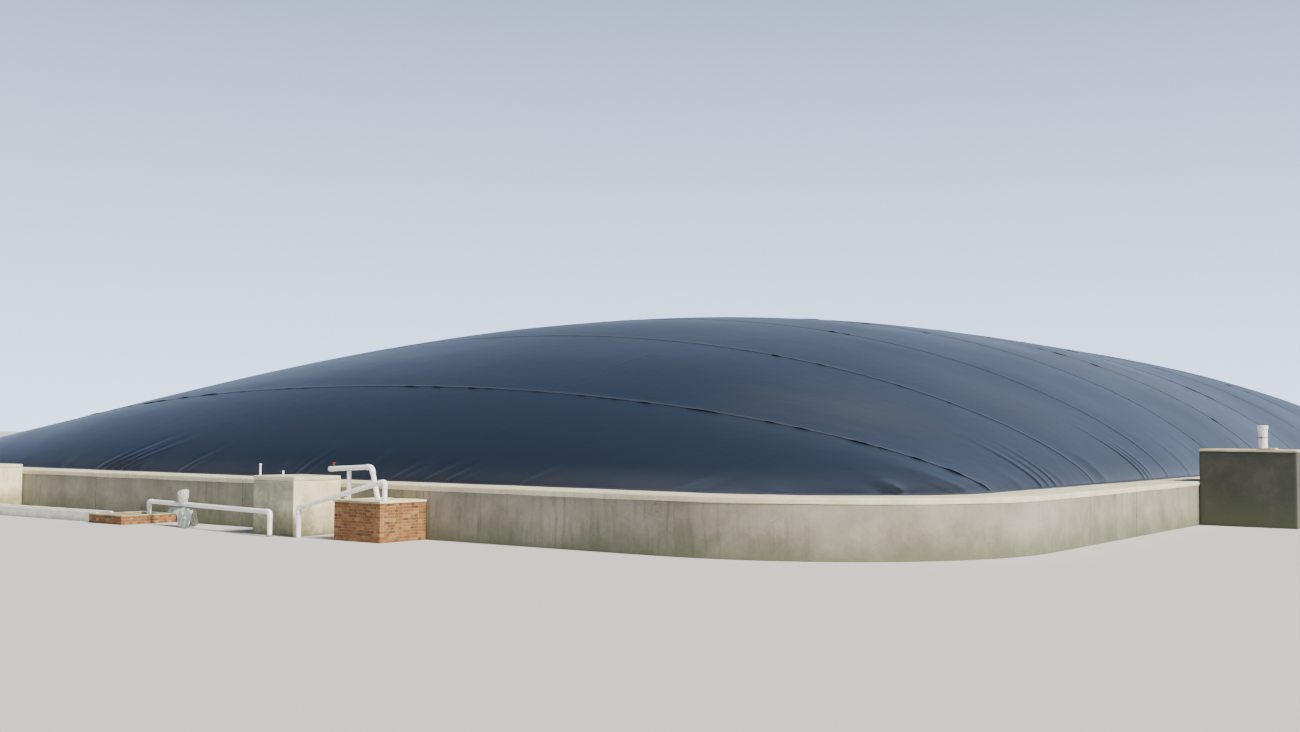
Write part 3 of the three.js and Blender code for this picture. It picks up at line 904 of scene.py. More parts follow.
@dataclass
class InflatedCover:
    """The membrane cover: thirteen strips, the lapped welds between them, and the welds across the strips.

    A place on it is given by x along the cover and by a share of its half width, from -1 to 1, in across.
    """

    axes: PlantAxes
    half_length: float = 4.35
    half_width: float = 2.0
    corner_radius: float = 0.45
    rise: float = 0.632
    long_power: float = 3.26
    long_roundness: float = 0.815
    cross_power: float = 2.08
    cross_roundness: float = 0.734
    strip_width: float = 0.7
    strip_count: int = 13
    lap: float = 0.3 * MM
    thickness: float = 1.4 * MM
    # Cells of the strips' grids, across a strip and along it. The strips at the two ends have their own.
    cells: tuple[int, int] = (60, 130)
    end_cells: tuple[int, int] = (42, 480)
    # Steps of the sum that spreads the grid's lines, and the share of a half size that a slope is taken over.
    fine_lines: int = 2001
    normal_step: float = 0.004
    # How evenly the end strips' lines are spread, and not crowded towards their ends.
    first_evenness: float = 0.8
    last_evenness: float = 0.75
    # The cover is drawn in along each weld, less so at the foot, and swells between them.
    seam_depth: float = 0.4 * MM
    seam_reach: float = 0.05
    seam_at_foot: float = 0.35
    swell: float = 0.7 * MM
    # Slow unevenness of the tensioned film, which sets in over these shares of the rise.
    wave: float = 1.3 * MM
    wave_size: float = 0.34
    wave_shorter: float = 0.45
    taut_between: Range = (0.02, 0.3)
    # The foot is turned out flat on the slab.
    hem: float = 0.024
    hem_wander: float = 3.0 * MM
    hem_wave: float = 1.0 * MM
    hem_wave_size: float = 0.06
    # Welds: the lap's free edge looks towards the front end and has come loose in places.
    flap_behind: float = 5.0 * MM
    flap_ahead: float = 8.0 * MM
    flap_slack: float = 4.0 * MM
    flap_thickness: float = 0.4 * MM
    flap_rest: float = 0.15 * MM
    flap_margin: float = 0.004
    sunk: float = 0.2 * MM
    flap_lift: float = 1.9 * MM
    flap_wander: float = 2.0 * MM
    flap_cells: tuple[int, int] = (4, 480)
    # Shares of its width over which it rises out of the film, and over which its free edge stands off.
    risen_between: Range = (0.0, 0.3)
    free_between: Range = (0.35, 1.0)
    # It is loose where a quick noise and a share of a slower one say so.
    loose_size: float = 0.05
    loose_over: float = 0.45
    slow_times: float = 7.0
    slow_share: float = 0.7
    butt_width: float = 8.0 * MM
    butt_lift: float = 0.15 * MM
    butt_margin: float = 12.0 * MM
    butt_lean: float = 0.03
    # Grid lines are this much closer together over the clearest folds, and the first strip's lean with them.
    fold_crowding: float = 3.2
    fold_margin: float = 0.03
    slant_middle: float = -0.07
    slant_window: Range = (0.43, 0.93)
    slant_reach: float = 0.3
    folds: list[Fold] = field(default_factory=list)
    # A fold widens and fades up the slope, and has a furrow on one side, placed and spread by its width.
    fold_spread: float = 1.2
    fold_power: float = 1.5
    fold_fade: float = 1.4
    fold_start: Range = (-0.02, 0.012)
    furrow_share: float = 0.45
    furrow_place: float = 1.8
    # Scattered folds stand in groups, whose gaps, spread, sizes, widths and lengths are drawn from these.
    group_counts: tuple[int, ...] = (1, 2, 3)
    group_gaps: Range = (0.12, 0.42)
    group_spread: float = 0.05
    fold_turn: float = 0.45
    fold_sizes: Range = (0.5, 1.0)
    fold_widths: Range = (0.011, 0.018)
    fold_lengths: Range = (0.1, 0.22)
    # Within its reach, a corner adds to their height and takes from their gaps.
    fold_rise: float = 1.4 * MM
    corner_reach: float = 0.7
    corner_rise: float = 3.2 * MM
    corner_crowding: float = 0.6
    # Dust, as shares of the surface, with the shares of the rise or the places along the cover between which
    # it sets in, and patches of it: x, y, reach and share.
    top_dust: float = 0.09
    top_between: Range = (0.35, 0.95)
    foot_dust: float = 0.16
    foot_between: Range = (0.0, 0.09)
    back_dust: float = 0.04
    back_between: Range = (-2.0, -1.4)
    dust_patches: Rows = (
        (-3.6, -1.53, 0.26, 0.2), (-2.89, -1.64, 0.3, 0.16), (-1.2, 0.9, 0.5, 0.1), (2.6, -1.2, 0.45, 0.12),
        (3.4, 1.1, 0.4, 0.14), (0.9, 1.6, 0.35, 0.12), (1.5, -0.2, 0.7, 0.06),
    )
    # The rolls differ a little, and each one's cross weld is in its own place, as a share of the half width.
    roll_tints: Row = (0.25, 0.4, 0.15, 0.75, 0.35, 0.6, 0.1, 0.85, 0.45, 0.2, 0.7, 0.3, 0.5)
    butt_places: Row = (-0.38, 0.55, 0.12, -0.62, 0.4, -0.2, 0.66, 0.05, -0.5, 0.3, -0.1)
    # How well each weld's free edge holds down; the one nearest the front end has worked loosest.
    weld_hold: Row = (0.02, 0.2, 0.3, 0.26, 0.3, 0.34, 0.28, 0.34, 0.3, 0.26, 0.3, 0.15)
    # The folds that show best, at the front foot (y) and the right foot (x): place, lean, height in
    # millimetres, and length.
    front_folds: Rows = (
        (0.53, -1.0, 2.4, 0.14), (0.49, -1.05, 5.0, 0.22), (0.452, -1.1, 4.2, 0.2),
        (0.41, -1.1, 4.8, 0.22), (0.372, -1.1, 2.4, 0.14), (0.144, -1.0, 2.8, 0.14),
        (0.11, -1.0, 2.0, 0.1), (-0.335, -0.35, 3.0, 0.13), (-0.37, -0.4, 2.0, 0.09),
        (-0.679, -1.0, 2.6, 0.11), (-0.72, -1.1, 2.0, 0.09), (-0.791, -1.1, 3.0, 0.12),
        (-0.86, -1.1, 3.0, 0.12), (-0.9, -1.1, 2.0, 0.09), (-1.093, -0.8, 2.8, 0.11),
    )
    right_folds: Rows = (
        (-3.54, 0.3, 2.2, 0.26), (-3.49, 0.3, 1.4, 0.2), (-3.44, 0.3, 1.7, 0.22),
        (-2.7, -0.15, 2.5, 0.26), (-2.66, -0.18, 1.5, 0.2), (-2.62, -0.2, 1.5, 0.2),
    )
    front_fold_width: float = 8.0 * MM
    right_fold_width: float = 6.5 * MM
    fold_seed: int = 7
    butt_seed: int = 11

    def __post_init__(self) -> None:
        """Lays out the folds once, from one seed."""
        front, right = self.front_fold_width, self.right_fold_width
        for y, lean, height, length in self.front_folds:
            self.folds.append(Fold(-self.half_length, y, 1.0, lean, front, length, height * MM))
        for x, lean, height, length in self.right_folds:
            self.folds.append(Fold(x, -self.half_width, lean, 1.0, right, length, height * MM))
        self.folds += self.scattered_folds(random.Random(self.fold_seed))

    @property
    def straights(self) -> tuple[float, float]:
        """Half the straight stretches of the foot, along the cover and across it."""
        return self.half_length - self.corner_radius, self.half_width - self.corner_radius

    @property
    def foot_lengths(self) -> list[float]:
        """The foot's sides and corners in order, from the right side's front end round by the back."""
        arc = self.corner_radius * QUARTER
        return [2 * self.straights[0], arc, 2 * self.straights[1], arc] * 2

    def scattered_folds(self, draw: random.Random) -> list[Fold]:
        """Scatters small folds in groups along the whole foot, closer together at the corners.

        Args:
            draw: the source of random numbers.

        Returns:
            The folds.
        """
        made: list[Fold] = []
        total = sum(self.foot_lengths)
        place = 0.0
        while place < total:
            near_corner = self.corner_share(place)
            for _ in range(draw.choice(self.group_counts)):
                x, y, inward = self.foot_at(place + draw.uniform(-self.group_spread, self.group_spread))
                turn = math.atan2(inward.y, inward.x) + draw.uniform(-self.fold_turn, self.fold_turn)
                size = draw.uniform(*self.fold_sizes)
                width = draw.uniform(*self.fold_widths)
                length = size * draw.uniform(*self.fold_lengths)
                height = size * (self.fold_rise + self.corner_rise * near_corner)
                made.append(Fold(x, y, math.cos(turn), math.sin(turn), width, length, height))
            place += draw.uniform(*self.group_gaps) * (1.0 - self.corner_crowding * near_corner)
        return made

    def corner_share(self, place: float) -> float:
        """Tells how close a place along the foot is to the middle of a corner.

        Args:
            place: the distance along the foot.

        Returns:
            From 0 for far off to 1.
        """
        lengths = self.foot_lengths
        ends = [sum(lengths[:count]) for count in range(len(lengths) + 1)]
        corners = [(ends[index] + ends[index + 1]) / 2 for index in range(1, len(lengths), 2)]
        nearest = min(abs(place - corner) for corner in corners)
        return max(0.0, 1.0 - nearest / self.corner_reach)

    def foot_at(self, place: float) -> tuple[float, float, Vector]:
        """Finds a point of the foot by its distance along it.

        Args:
            place: the distance, starting at the right side's front end and going round by the back.

        Returns:
            The point's x and y, and the direction inwards.
        """
        lengths = self.foot_lengths
        place %= sum(lengths)
        for index, length in enumerate(lengths):
            if place <= length or index == len(lengths) - 1:
                break
            place -= length
        along, across = self.straights
        long, wide = self.half_length, self.half_width
        starts = ((-along, -wide), (long, -across), (along, wide), (-long, across))
        centres = ((along, -across), (along, across), (-along, across), (-along, -across))
        side = index // 2
        if index % 2 == 0:
            heading = Vector((math.cos(side * QUARTER), math.sin(side * QUARTER)))
            spot = Vector(starts[side]) + heading * place
            return spot.x, spot.y, Vector((-heading.y, heading.x))
        turn = side * QUARTER - QUARTER + place / self.corner_radius
        outward = Vector((math.cos(turn), math.sin(turn)))
        spot = Vector(centres[side]) + outward * self.corner_radius
        return spot.x, spot.y, -outward

    def grid_places(self, low: float, high: float, clear: Sequence[Range]) -> Callable[[Array], Array]:
        """Spreads grid lines between two ends, with more of them over the clearest folds.

        Args:
            low: the first line's place.
            high: the last line's place.
            clear: the stretches that the folds run over.

        Returns:
            What gives a line's place from its share of the way, 0 to 1.
        """
        fine = np.linspace(low, high, self.fine_lines)
        crowd = np.ones(len(fine))
        for start, end in clear:
            inside = (fine > min(start, end) - self.fold_margin) & (fine < max(start, end) + self.fold_margin)
            crowd[inside] = self.fold_crowding
        passed = np.concatenate(([0.0], np.cumsum((crowd[1:] + crowd[:-1]) / 2)))
        even = np.linspace(0.0, 1.0, len(fine))
        spread = np.interp(even, passed / passed[-1], fine)
        return lambda share: np.interp(share, even, spread)

    def slanted(self, x: Array, across: Array) -> Array:
        """Leans the first strip's grid lines over, so that they run along its folds and not across them.

        Args:
            x: places along the cover.
            across: shares of the half width.

        Returns:
            The leaning shares of the half width.
        """
        behind_foot = x + self.half_length
        window = 1.0 - ease(np.abs(across - self.slant_middle), *self.slant_window)
        straight = across * self.half_width_at(x)
        shift = self.slant_reach * np.tanh(behind_foot / self.slant_reach)
        leaning = across * self.straights[1] - shift
        return (straight + (leaning - straight) * window) / self.half_width_at(x)

    def half_width_at(self, x: Array) -> Array:
        """Half the cover's width at places along it, with the corners rounded in plan."""
        into = np.clip(np.abs(x) - self.straights[0], 0.0, self.corner_radius)
        return self.straights[1] + np.sqrt(self.corner_radius**2 - into**2)

    def surface(self, x: Array, across: Array) -> Array:
        """Finds points of the smooth form.

        Args:
            x: places along the cover.
            across: shares of the half width.

        Returns:
            The points, in the plant's axes over the slab.
        """
        along = np.clip(np.abs(x) / self.half_length, 0.0, 1.0)
        aside = np.clip(np.abs(across), 0.0, 1.0)
        long_way = (1 - along**self.long_power) ** self.long_roundness
        cross_way = (1 - aside**self.cross_power) ** self.cross_roundness
        return np.stack([x, across * self.half_width_at(x), self.rise * (long_way * cross_way)], axis=1)

    def normals(self, x: Array, across: Array) -> Array:
        """Finds the outward directions of the smooth form.

        Args:
            x: places along the cover.
            across: shares of the half width.

        Returns:
            The directions.
        """
        step, limit = self.normal_step, self.half_length
        ahead = self.surface(np.clip(x + step * limit, -limit, limit), across)
        behind = self.surface(np.clip(x - step * limit, -limit, limit), across)
        left = self.surface(x, np.clip(across + step, -1, 1))
        right = self.surface(x, np.clip(across - step, -1, 1))
        normal = np.cross(ahead - behind, left - right)
        return normal / np.linalg.norm(normal, axis=1, keepdims=True)

    def seam_places(self) -> list[float]:
        """The places along the cover of the welds between strips."""
        middle = self.strip_count / 2
        return [(number - middle) * self.strip_width for number in range(1, self.strip_count)]

    def from_weld(self, x: Array) -> Array:
        """The distance from places along the cover to the nearest weld."""
        return np.min([np.abs(x - seam) for seam in self.seam_places()], axis=0)

    def relief(self, x: Array, points: Array) -> Array:
        """Finds how far the film stands off the smooth form: drawn in at welds, puckered at the foot.

        Args:
            x: places along the cover.
            points: the same places on the smooth form.

        Returns:
            The heights.
        """
        nearest = self.from_weld(x)
        taut = ease(np.clip(points[:, 2] / self.rise, 0.0, 1.0), *self.taut_between)
        seam_share = self.seam_at_foot + (1.0 - self.seam_at_foot) * taut
        drawn = -self.seam_depth * np.exp(-((nearest / self.seam_reach) ** 2)) * seam_share
        swelling = self.swell * (np.minimum(nearest / (self.strip_width / 2), 1.0) - 1.0)
        stretched = points * np.array([1.0, self.wave_shorter, 1.0])
        waves = self.wave * noise_at(stretched, self.wave_size, 2.0) * taut
        return drawn + swelling + waves + self.fold_relief(points)

    def fold_relief(self, points: Array) -> Array:
        """Finds the height of the puckers.

        Args:
            points: points of the smooth form.

        Returns:
            The heights.
        """
        total = np.zeros(len(points))
        for fold in self.folds:
            heading = np.array([fold.heading_x, fold.heading_y])
            heading = heading / np.linalg.norm(heading)
            away = points[:, :2] - np.array([fold.x, fold.y])
            along = away @ heading
            aside = away @ np.array([-heading[1], heading[0]])
            width = fold.width * (1.0 + self.fold_spread * np.clip(along / fold.length, 0.0, 1.0))
            furrow = np.exp(-(((aside - self.furrow_place * width) / width) ** 2))
            ridge = np.exp(-(np.abs(aside / width) ** self.fold_power)) - self.furrow_share * furrow
            fade = np.clip(1.0 - along / fold.length, 0.0, 1.0) ** self.fold_fade
            total += fold.height * ridge * fade * ease(along, *self.fold_start)
        return total

    def laid(self, x: Array, across: Array, lift: Array | float = 0.0) -> Array:
        """Finds points of the film's outer face, in the frame.

        Args:
            x: places along the cover.
            across: shares of the half width.
            lift: a further height over the face.

        Returns:
            The points.
        """
        points = self.surface(x, across)
        offset = self.relief(x, points) + lift
        points = points + self.normals(x, across) * np.reshape(offset, (-1, 1))
        points[:, 2] = np.maximum(points[:, 2], self.thickness + self.lap)
        return points + np.array([self.axes.middle.x, self.axes.middle.y, self.axes.slab_top + self.lap])

    def outward(self, x: float, y: float) -> Vector:
        """Finds the direction out of the foot, in plan.

        Args:
            x: a place along the cover.
            y: its place across the cover.

        Returns:
            The direction.
        """
        spare_x = abs(x) - self.straights[0]
        spare_y = abs(y) - self.straights[1]
        if spare_x > 0 and spare_y > 0:
            return Vector((math.copysign(spare_x, x), math.copysign(spare_y, y), 0.0)).normalized()
        if spare_x > spare_y:
            return Vector((math.copysign(1.0, x), 0.0, 0.0))
        return Vector((0.0, math.copysign(1.0, y), 0.0))

    def build_strip(self, number: int) -> None:
        """Builds one strip of film with its hem.

        Args:
            number: the strip's number, from 1 at the front end.
        """
        ends = [-self.half_length, *self.seam_places(), self.half_length]
        start, end = ends[number - 1], ends[number]
        first, last = number == 1, number == self.strip_count
        shape = bmesh.new()
        side, length = unit_grid(shape, *(self.end_cells if first or last else self.cells))
        across = -np.cos(math.pi * length)
        if first:
            x = start + (end - start) * (1 - np.cos(side * QUARTER))
            clear = [(y / self.straights[1],) * 2 for y, *_ in self.front_folds]
            even = self.grid_places(-1.0, 1.0, clear)(length)
            across = (1 - self.first_evenness) * across + self.first_evenness * even
            across = self.slanted(x, across)
        elif last:
            x = start + (end - start) * np.sin(side * QUARTER)
            across = (1 - self.last_evenness) * across + self.last_evenness * (2 * length - 1)
        else:
            clear = [(place, place + lean * reach) for place, lean, _, reach in self.right_folds]
            x = self.grid_places(start, end, clear)(side)
        move_to(shape, self.laid(x, across))
        tint = self.roll_tints[number - 1]
        self.mark_film(shape, self.surface(x, across), self.from_weld(x) / MM, tint)
        self.add_hem(shape, x, across)
        replaced = [f"cover_strip_{number:02d}"]
        piece = finish_piece(f"membrane_strip_{number:02d}", shape, Finish.MEMBRANE, replaced)
        give_thickness(piece, self.thickness)

    def mark_film(self, shape: Mesh, points: Array, from_weld: Array, tint: float) -> None:
        """Stores the numbers that the membrane's finish reads.

        Args:
            shape: the film.
            points: its vertices on the smooth form.
            from_weld: each vertex's distance from the nearest weld, in millimetres.
            tint: how pale the roll is, from 0 to 1.
        """
        mark(shape, "seam_mm", from_weld)
        mark(shape, "tint", np.full(len(points), tint))
        mark(shape, "dust", self.dust_at(points))

    def dust_at(self, points: Array) -> Array:
        """Finds the share of dust: on the flatter top, along the foot, behind the crown and in a few patches.

        Args:
            points: points of the smooth form.

        Returns:
            The shares.
        """
        height = points[:, 2] / self.rise
        dust = self.top_dust * ease(height, *self.top_between)
        dust += self.foot_dust * (1.0 - ease(height, *self.foot_between))
        dust += self.back_dust * ease(points[:, 0], *self.back_between)
        for x, y, reach, amount in self.dust_patches:
            away = np.hypot(points[:, 0] - x, points[:, 1] - y)
            dust += amount * np.exp(-((away / reach) ** 2))
        return dust

    def add_hem(self, shape: Mesh, x: Array, across: Array) -> None:
        """Turns the foot of a strip out flat over the slab.

        Args:
            shape: the strip.
            x: its vertices' places along the cover.
            across: their shares of the half width.
        """
        # The grid's outermost lines lie on the foot, up to rounding.
        at_foot = (np.abs(across) > 0.9999) | (np.abs(x) > self.half_length - 1e-5)
        foot = {vertex for vertex, low in zip(shape.verts, at_foot) if low}
        edges = [edge for edge in shape.edges if edge.is_boundary and set(edge.verts) <= foot]
        turned = bmesh.ops.extrude_edge_only(shape, edges=edges)["geom"]
        for vertex in (item for item in turned if isinstance(item, bmesh.types.BMVert)):
            local = vertex.co - self.axes.middle
            wave = noise.noise(vertex.co / self.hem_wave_size)
            vertex.co += self.outward(local.x, local.y) * (self.hem + self.hem_wander * wave)
            vertex.co.z = self.axes.slab_top + self.lap + self.thickness + self.hem_wave * max(0.0, wave)

    def build_flap(self, number: int) -> None:
        """Builds the lapped weld between two strips, with its free edge loose in places.

        Args:
            number: the number of the strip in front of the weld.
        """
        seam = self.seam_places()[number - 1]
        shape = bmesh.new()
        side, length = unit_grid(shape, *self.flap_cells)
        x = seam + self.flap_behind - (self.flap_behind + self.flap_ahead) * side
        across = -np.cos(math.pi * (self.flap_margin + (1 - 2 * self.flap_margin) * length))
        smooth = self.surface(x, across)
        along_seam = np.stack([np.full(len(x), seam * 3.0), smooth[:, 1], np.zeros(len(x))], axis=1)
        slow = noise_at(along_seam, self.loose_size * self.slow_times, number + 0.5)
        quick = noise_at(along_seam, self.loose_size, number + 9.5)
        held = self.weld_hold[number - 1]
        loose = ease(quick + self.slow_share * slow, held, held + self.loose_over)
        full = self.flap_thickness + self.flap_rest + self.sunk
        risen = ease(side, *self.risen_between) * full - self.sunk
        lift = risen + ease(side, *self.free_between) * (self.flap_rest + self.flap_lift * loose)
        wander = self.flap_wander * noise_at(along_seam, self.loose_size * 0.8, number + 3.5) * side
        move_to(shape, self.laid(x - wander, across, lift))
        bmesh.ops.reverse_faces(shape, faces=shape.faces[:])
        from_weld = (self.flap_ahead + self.flap_slack * side) / MM
        self.mark_film(shape, smooth, from_weld, self.roll_tints[number])
        piece = finish_piece(f"weld_flap_{number:02d}", shape, Finish.MEMBRANE)
        give_thickness(piece, self.flap_thickness)

    def build_butt_welds(self) -> None:
        """Builds the welds that join two rolls within a strip, one in each strip but the end ones."""
        draw = random.Random(self.butt_seed)
        shape = bmesh.new()
        seams = self.seam_places()
        for number, (start, end, place) in enumerate(zip(seams, seams[1:], self.butt_places), start=1):
            ribbon = bmesh.new()
            side, length = unit_grid(ribbon, 3, self.cells[0])
            x = start + self.butt_margin + (end - start - 2 * self.butt_margin) * length
            lean = self.butt_lean * draw.uniform(-1, 1) * (length - 0.5)
            across = place + lean + (side - 0.5) * self.butt_width / self.half_width
            move_to(ribbon, self.laid(x, across, self.butt_lift * (1.0 + side)))
            bmesh.ops.reverse_faces(ribbon, faces=ribbon.faces[:])
            from_weld = np.full(len(x), self.flap_ahead / MM)
            self.mark_film(ribbon, self.surface(x, across), from_weld, self.roll_tints[number])
            merge_in(shape, ribbon)
        give_thickness(finish_piece("butt_welds", shape, Finish.MEMBRANE), self.flap_thickness)

    def build(self) -> None:
        """Builds the whole cover."""
        for number in range(1, self.strip_count + 1):
            self.build_strip(number)
        for number in range(1, self.strip_count):
            self.build_flap(number)
        self.build_butt_welds()


class RimSide(Enum):
    """The four sides of the rim, with the turn from the right side, in quarters."""

    RIGHT = ("right", 0)
    BACK = ("back", 1)
    LEFT = ("left", 2)
    FRONT = ("front", 3)


@dataclass(frozen=True)
class Station:
    """A place along the rim's outer face, in plan."""

    spot: Vector
    outward: Vector
    in_joint: bool = False


@dataclass
class ConcreteRim:
    """The rim of the basin: a rendered wall down to the ground, and the cast slab that anchors the cover."""

    axes: PlantAxes
    half_length: float = 4.5
    half_width: float = 2.15
    corner_radius: float = 0.6
    clearance: float = 0.3 * MM
    wall: float = 0.04
    wall_rows: int = 6
    slab: float = 0.012
    slab_width: float = 0.18
    # Casting joints, with the width and depth of their groove.
    bay: float = 0.6
    joint: float = 2.0 * MM
    joint_depth: float = 1.6 * MM
    # The groove's stations, as shares of its width from its middle, and whether they lie on its floor.
    groove: tuple[tuple[float, bool], ...] = ((-0.75, False), (-0.4, True), (0.4, True), (0.75, False))
    # The slab's rounded outer edge, the share of it that is cut off below, rows over its top, and inner edge.
    nosing: float = 2.6 * MM
    nosing_steps: int = 4
    nosing_under: float = 0.4
    deck_rows: Row = (0.25, 0.45, 0.65, 0.85, 0.99)
    inner_edge: float = 1.0 * MM
    station_step: float = 0.03
    rough: float = 0.5 * MM
    rough_size: float = 0.12
    # The slab stands a little proud of the render under it.
    wall_inset: float = 1.5 * MM

    def stations(self, side: RimSide) -> list[Station]:
        """Lists the stations of one side of the rim.

        Args:
            side: the side. The front and back sides hold the rounded corners.

        Returns:
            The stations in order, going round by the back.
        """
        along_x = side in (RimSide.RIGHT, RimSide.LEFT)
        straight = (self.half_length if along_x else self.half_width) - self.corner_radius
        reach = self.half_width if along_x else self.half_length
        bends = 0 if along_x else round(QUARTER * self.corner_radius / self.station_step)
        steps = round(2 * straight / self.station_step)
        made = [self.on_arc(-straight, reach, -math.pi + QUARTER * step / bends) for step in range(bends)]
        places = [-straight + 2 * straight * step / steps for step in range(steps + 1)]
        made += [Station(Vector((place, -reach)), Vector((0.0, -1.0))) for place in places]
        angles = [-QUARTER + QUARTER * step / bends for step in range(1, bends + 1)]
        made += [self.on_arc(straight, reach, angle) for angle in angles]
        turn = Matrix.Rotation(side.value[1] * QUARTER, 2)
        made = [Station(turn @ station.spot, turn @ station.outward) for station in made]
        return self.with_joints(made, straight, turn, reach)

    def on_arc(self, centre_x: float, reach: float, angle: float) -> Station:
        """Finds a station of a rounded corner before the side is turned into place.

        Args:
            centre_x: the place along the side of the corner's middle.
            reach: the distance from the plant's middle to the side.
            angle: the direction out of the corner.

        Returns:
            The station.
        """
        outward = Vector((math.cos(angle), math.sin(angle)))
        centre = Vector((centre_x, -(reach - self.corner_radius)))
        return Station(centre + outward * self.corner_radius, outward)

    def with_joints(
        self, stations: list[Station], straight: float, turn: Matrix, reach: float
    ) -> list[Station]:
        """Adds the four stations of each casting joint's groove and drops those that lie within it.

        Args:
            stations: the side's stations.
            straight: half the straight stretch.
            turn: the turn of the side into its place.
            reach: the distance from the plant's middle to the side.

        Returns:
            The stations in order.
        """
        heading, away = turn @ Vector((1.0, 0.0)), turn @ Vector((0.0, -1.0))
        bays = round(2 * straight / self.bay)
        for number in range(1, bays):
            place = -straight + 2 * straight * number / bays
            stations = [
                station for station in stations
                if abs(station.spot.dot(heading) - place) > 2 * self.joint
            ]
            for offset, sunk in self.groove:
                spot = heading * (place + offset * self.joint) + away * reach
                stations.append(Station(spot, away, sunk))
        return sorted(stations, key=lambda station: self.order(station, heading, away))

    def order(self, station: Station, heading: Vector, away: Vector) -> float:
        """Sorts stations along their side, round corners too."""
        lean = math.atan2(station.outward.dot(heading), station.outward.dot(away))
        return station.spot.dot(heading) + self.corner_radius * lean

    def sweep(self, side: RimSide, profile: Callable[[bool], Profile], base: float) -> Mesh:
        """Sweeps a section along one side.

        Args:
            side: the side.
            profile: gives the section as pairs of depth behind the outer face and height, for a joint or not.
            base: the height of the section's foot.

        Returns:
            The mesh.
        """
        shape = bmesh.new()
        rings = []
        for station in self.stations(side):
            outer = self.axes.at(*station.spot, base)
            inward = -station.outward.to_3d()
            section = profile(station.in_joint)
            rings.append([outer + inward * depth + UP * height for depth, height in section])
        skin_rings(shape, rings)
        roughen(shape, self.rough, self.rough_size, 1.0 + side.value[1])
        return shape

    def wall_section(self, sunk: bool) -> Profile:
        """Gives the wall's section, with rows of points up its outer face.

        Args:
            sunk: whether it is in a joint's groove.

        Returns:
            Pairs of depth and height.
        """
        top = self.axes.slab_top - self.slab - self.clearance
        depth = self.wall_inset + (self.joint_depth if sunk else 0.0)
        outer = [(depth, top * row / self.wall_rows) for row in range(self.wall_rows + 1)]
        inner = [(self.wall, top * row / 2) for row in (2, 1, 0)]
        return outer + inner

    def slab_section(self, sunk: bool) -> Profile:
        """Gives the slab's section, with a rounded nosing on its outer edge.

        Args:
            sunk: whether it is in a joint's groove.

        Returns:
            Pairs of depth and height.
        """
        drop = self.joint_depth if sunk else 0.0
        radius = self.nosing
        top = self.slab - drop
        bend = [QUARTER * step / self.nosing_steps for step in range(self.nosing_steps + 1)]
        cut = radius * self.nosing_under
        under = [(drop + cut, 0.0), (drop, cut)]
        nose = [
            (drop + radius - radius * math.cos(turn), top - radius + radius * math.sin(turn)) for turn in bend
        ]
        deck = [(self.slab_width * share, top) for share in self.deck_rows]
        inner = [(self.slab_width, top - self.inner_edge), (self.slab_width, 0.0)]
        return under + nose + deck + inner

    def build(self) -> None:
        """Builds the four walls and the four slabs."""
        for side in RimSide:
            name = side.value[0]
            wall = self.sweep(side, self.wall_section, 0.0)
            # Its foot stands level on the ground.
            for vertex in wall.verts:
                if vertex.co.z < 3 * self.rough:
                    vertex.co.z = 0.0
            finish_piece(f"rendered_wall_{name}", wall, Finish.RENDER, [f"rim_wall_{name}"])
            slab = self.sweep(side, self.slab_section, self.axes.slab_top - self.slab)
            finish_piece(f"anchor_slab_{name}", slab, Finish.KERB, [f"rim_slab_{name}"])


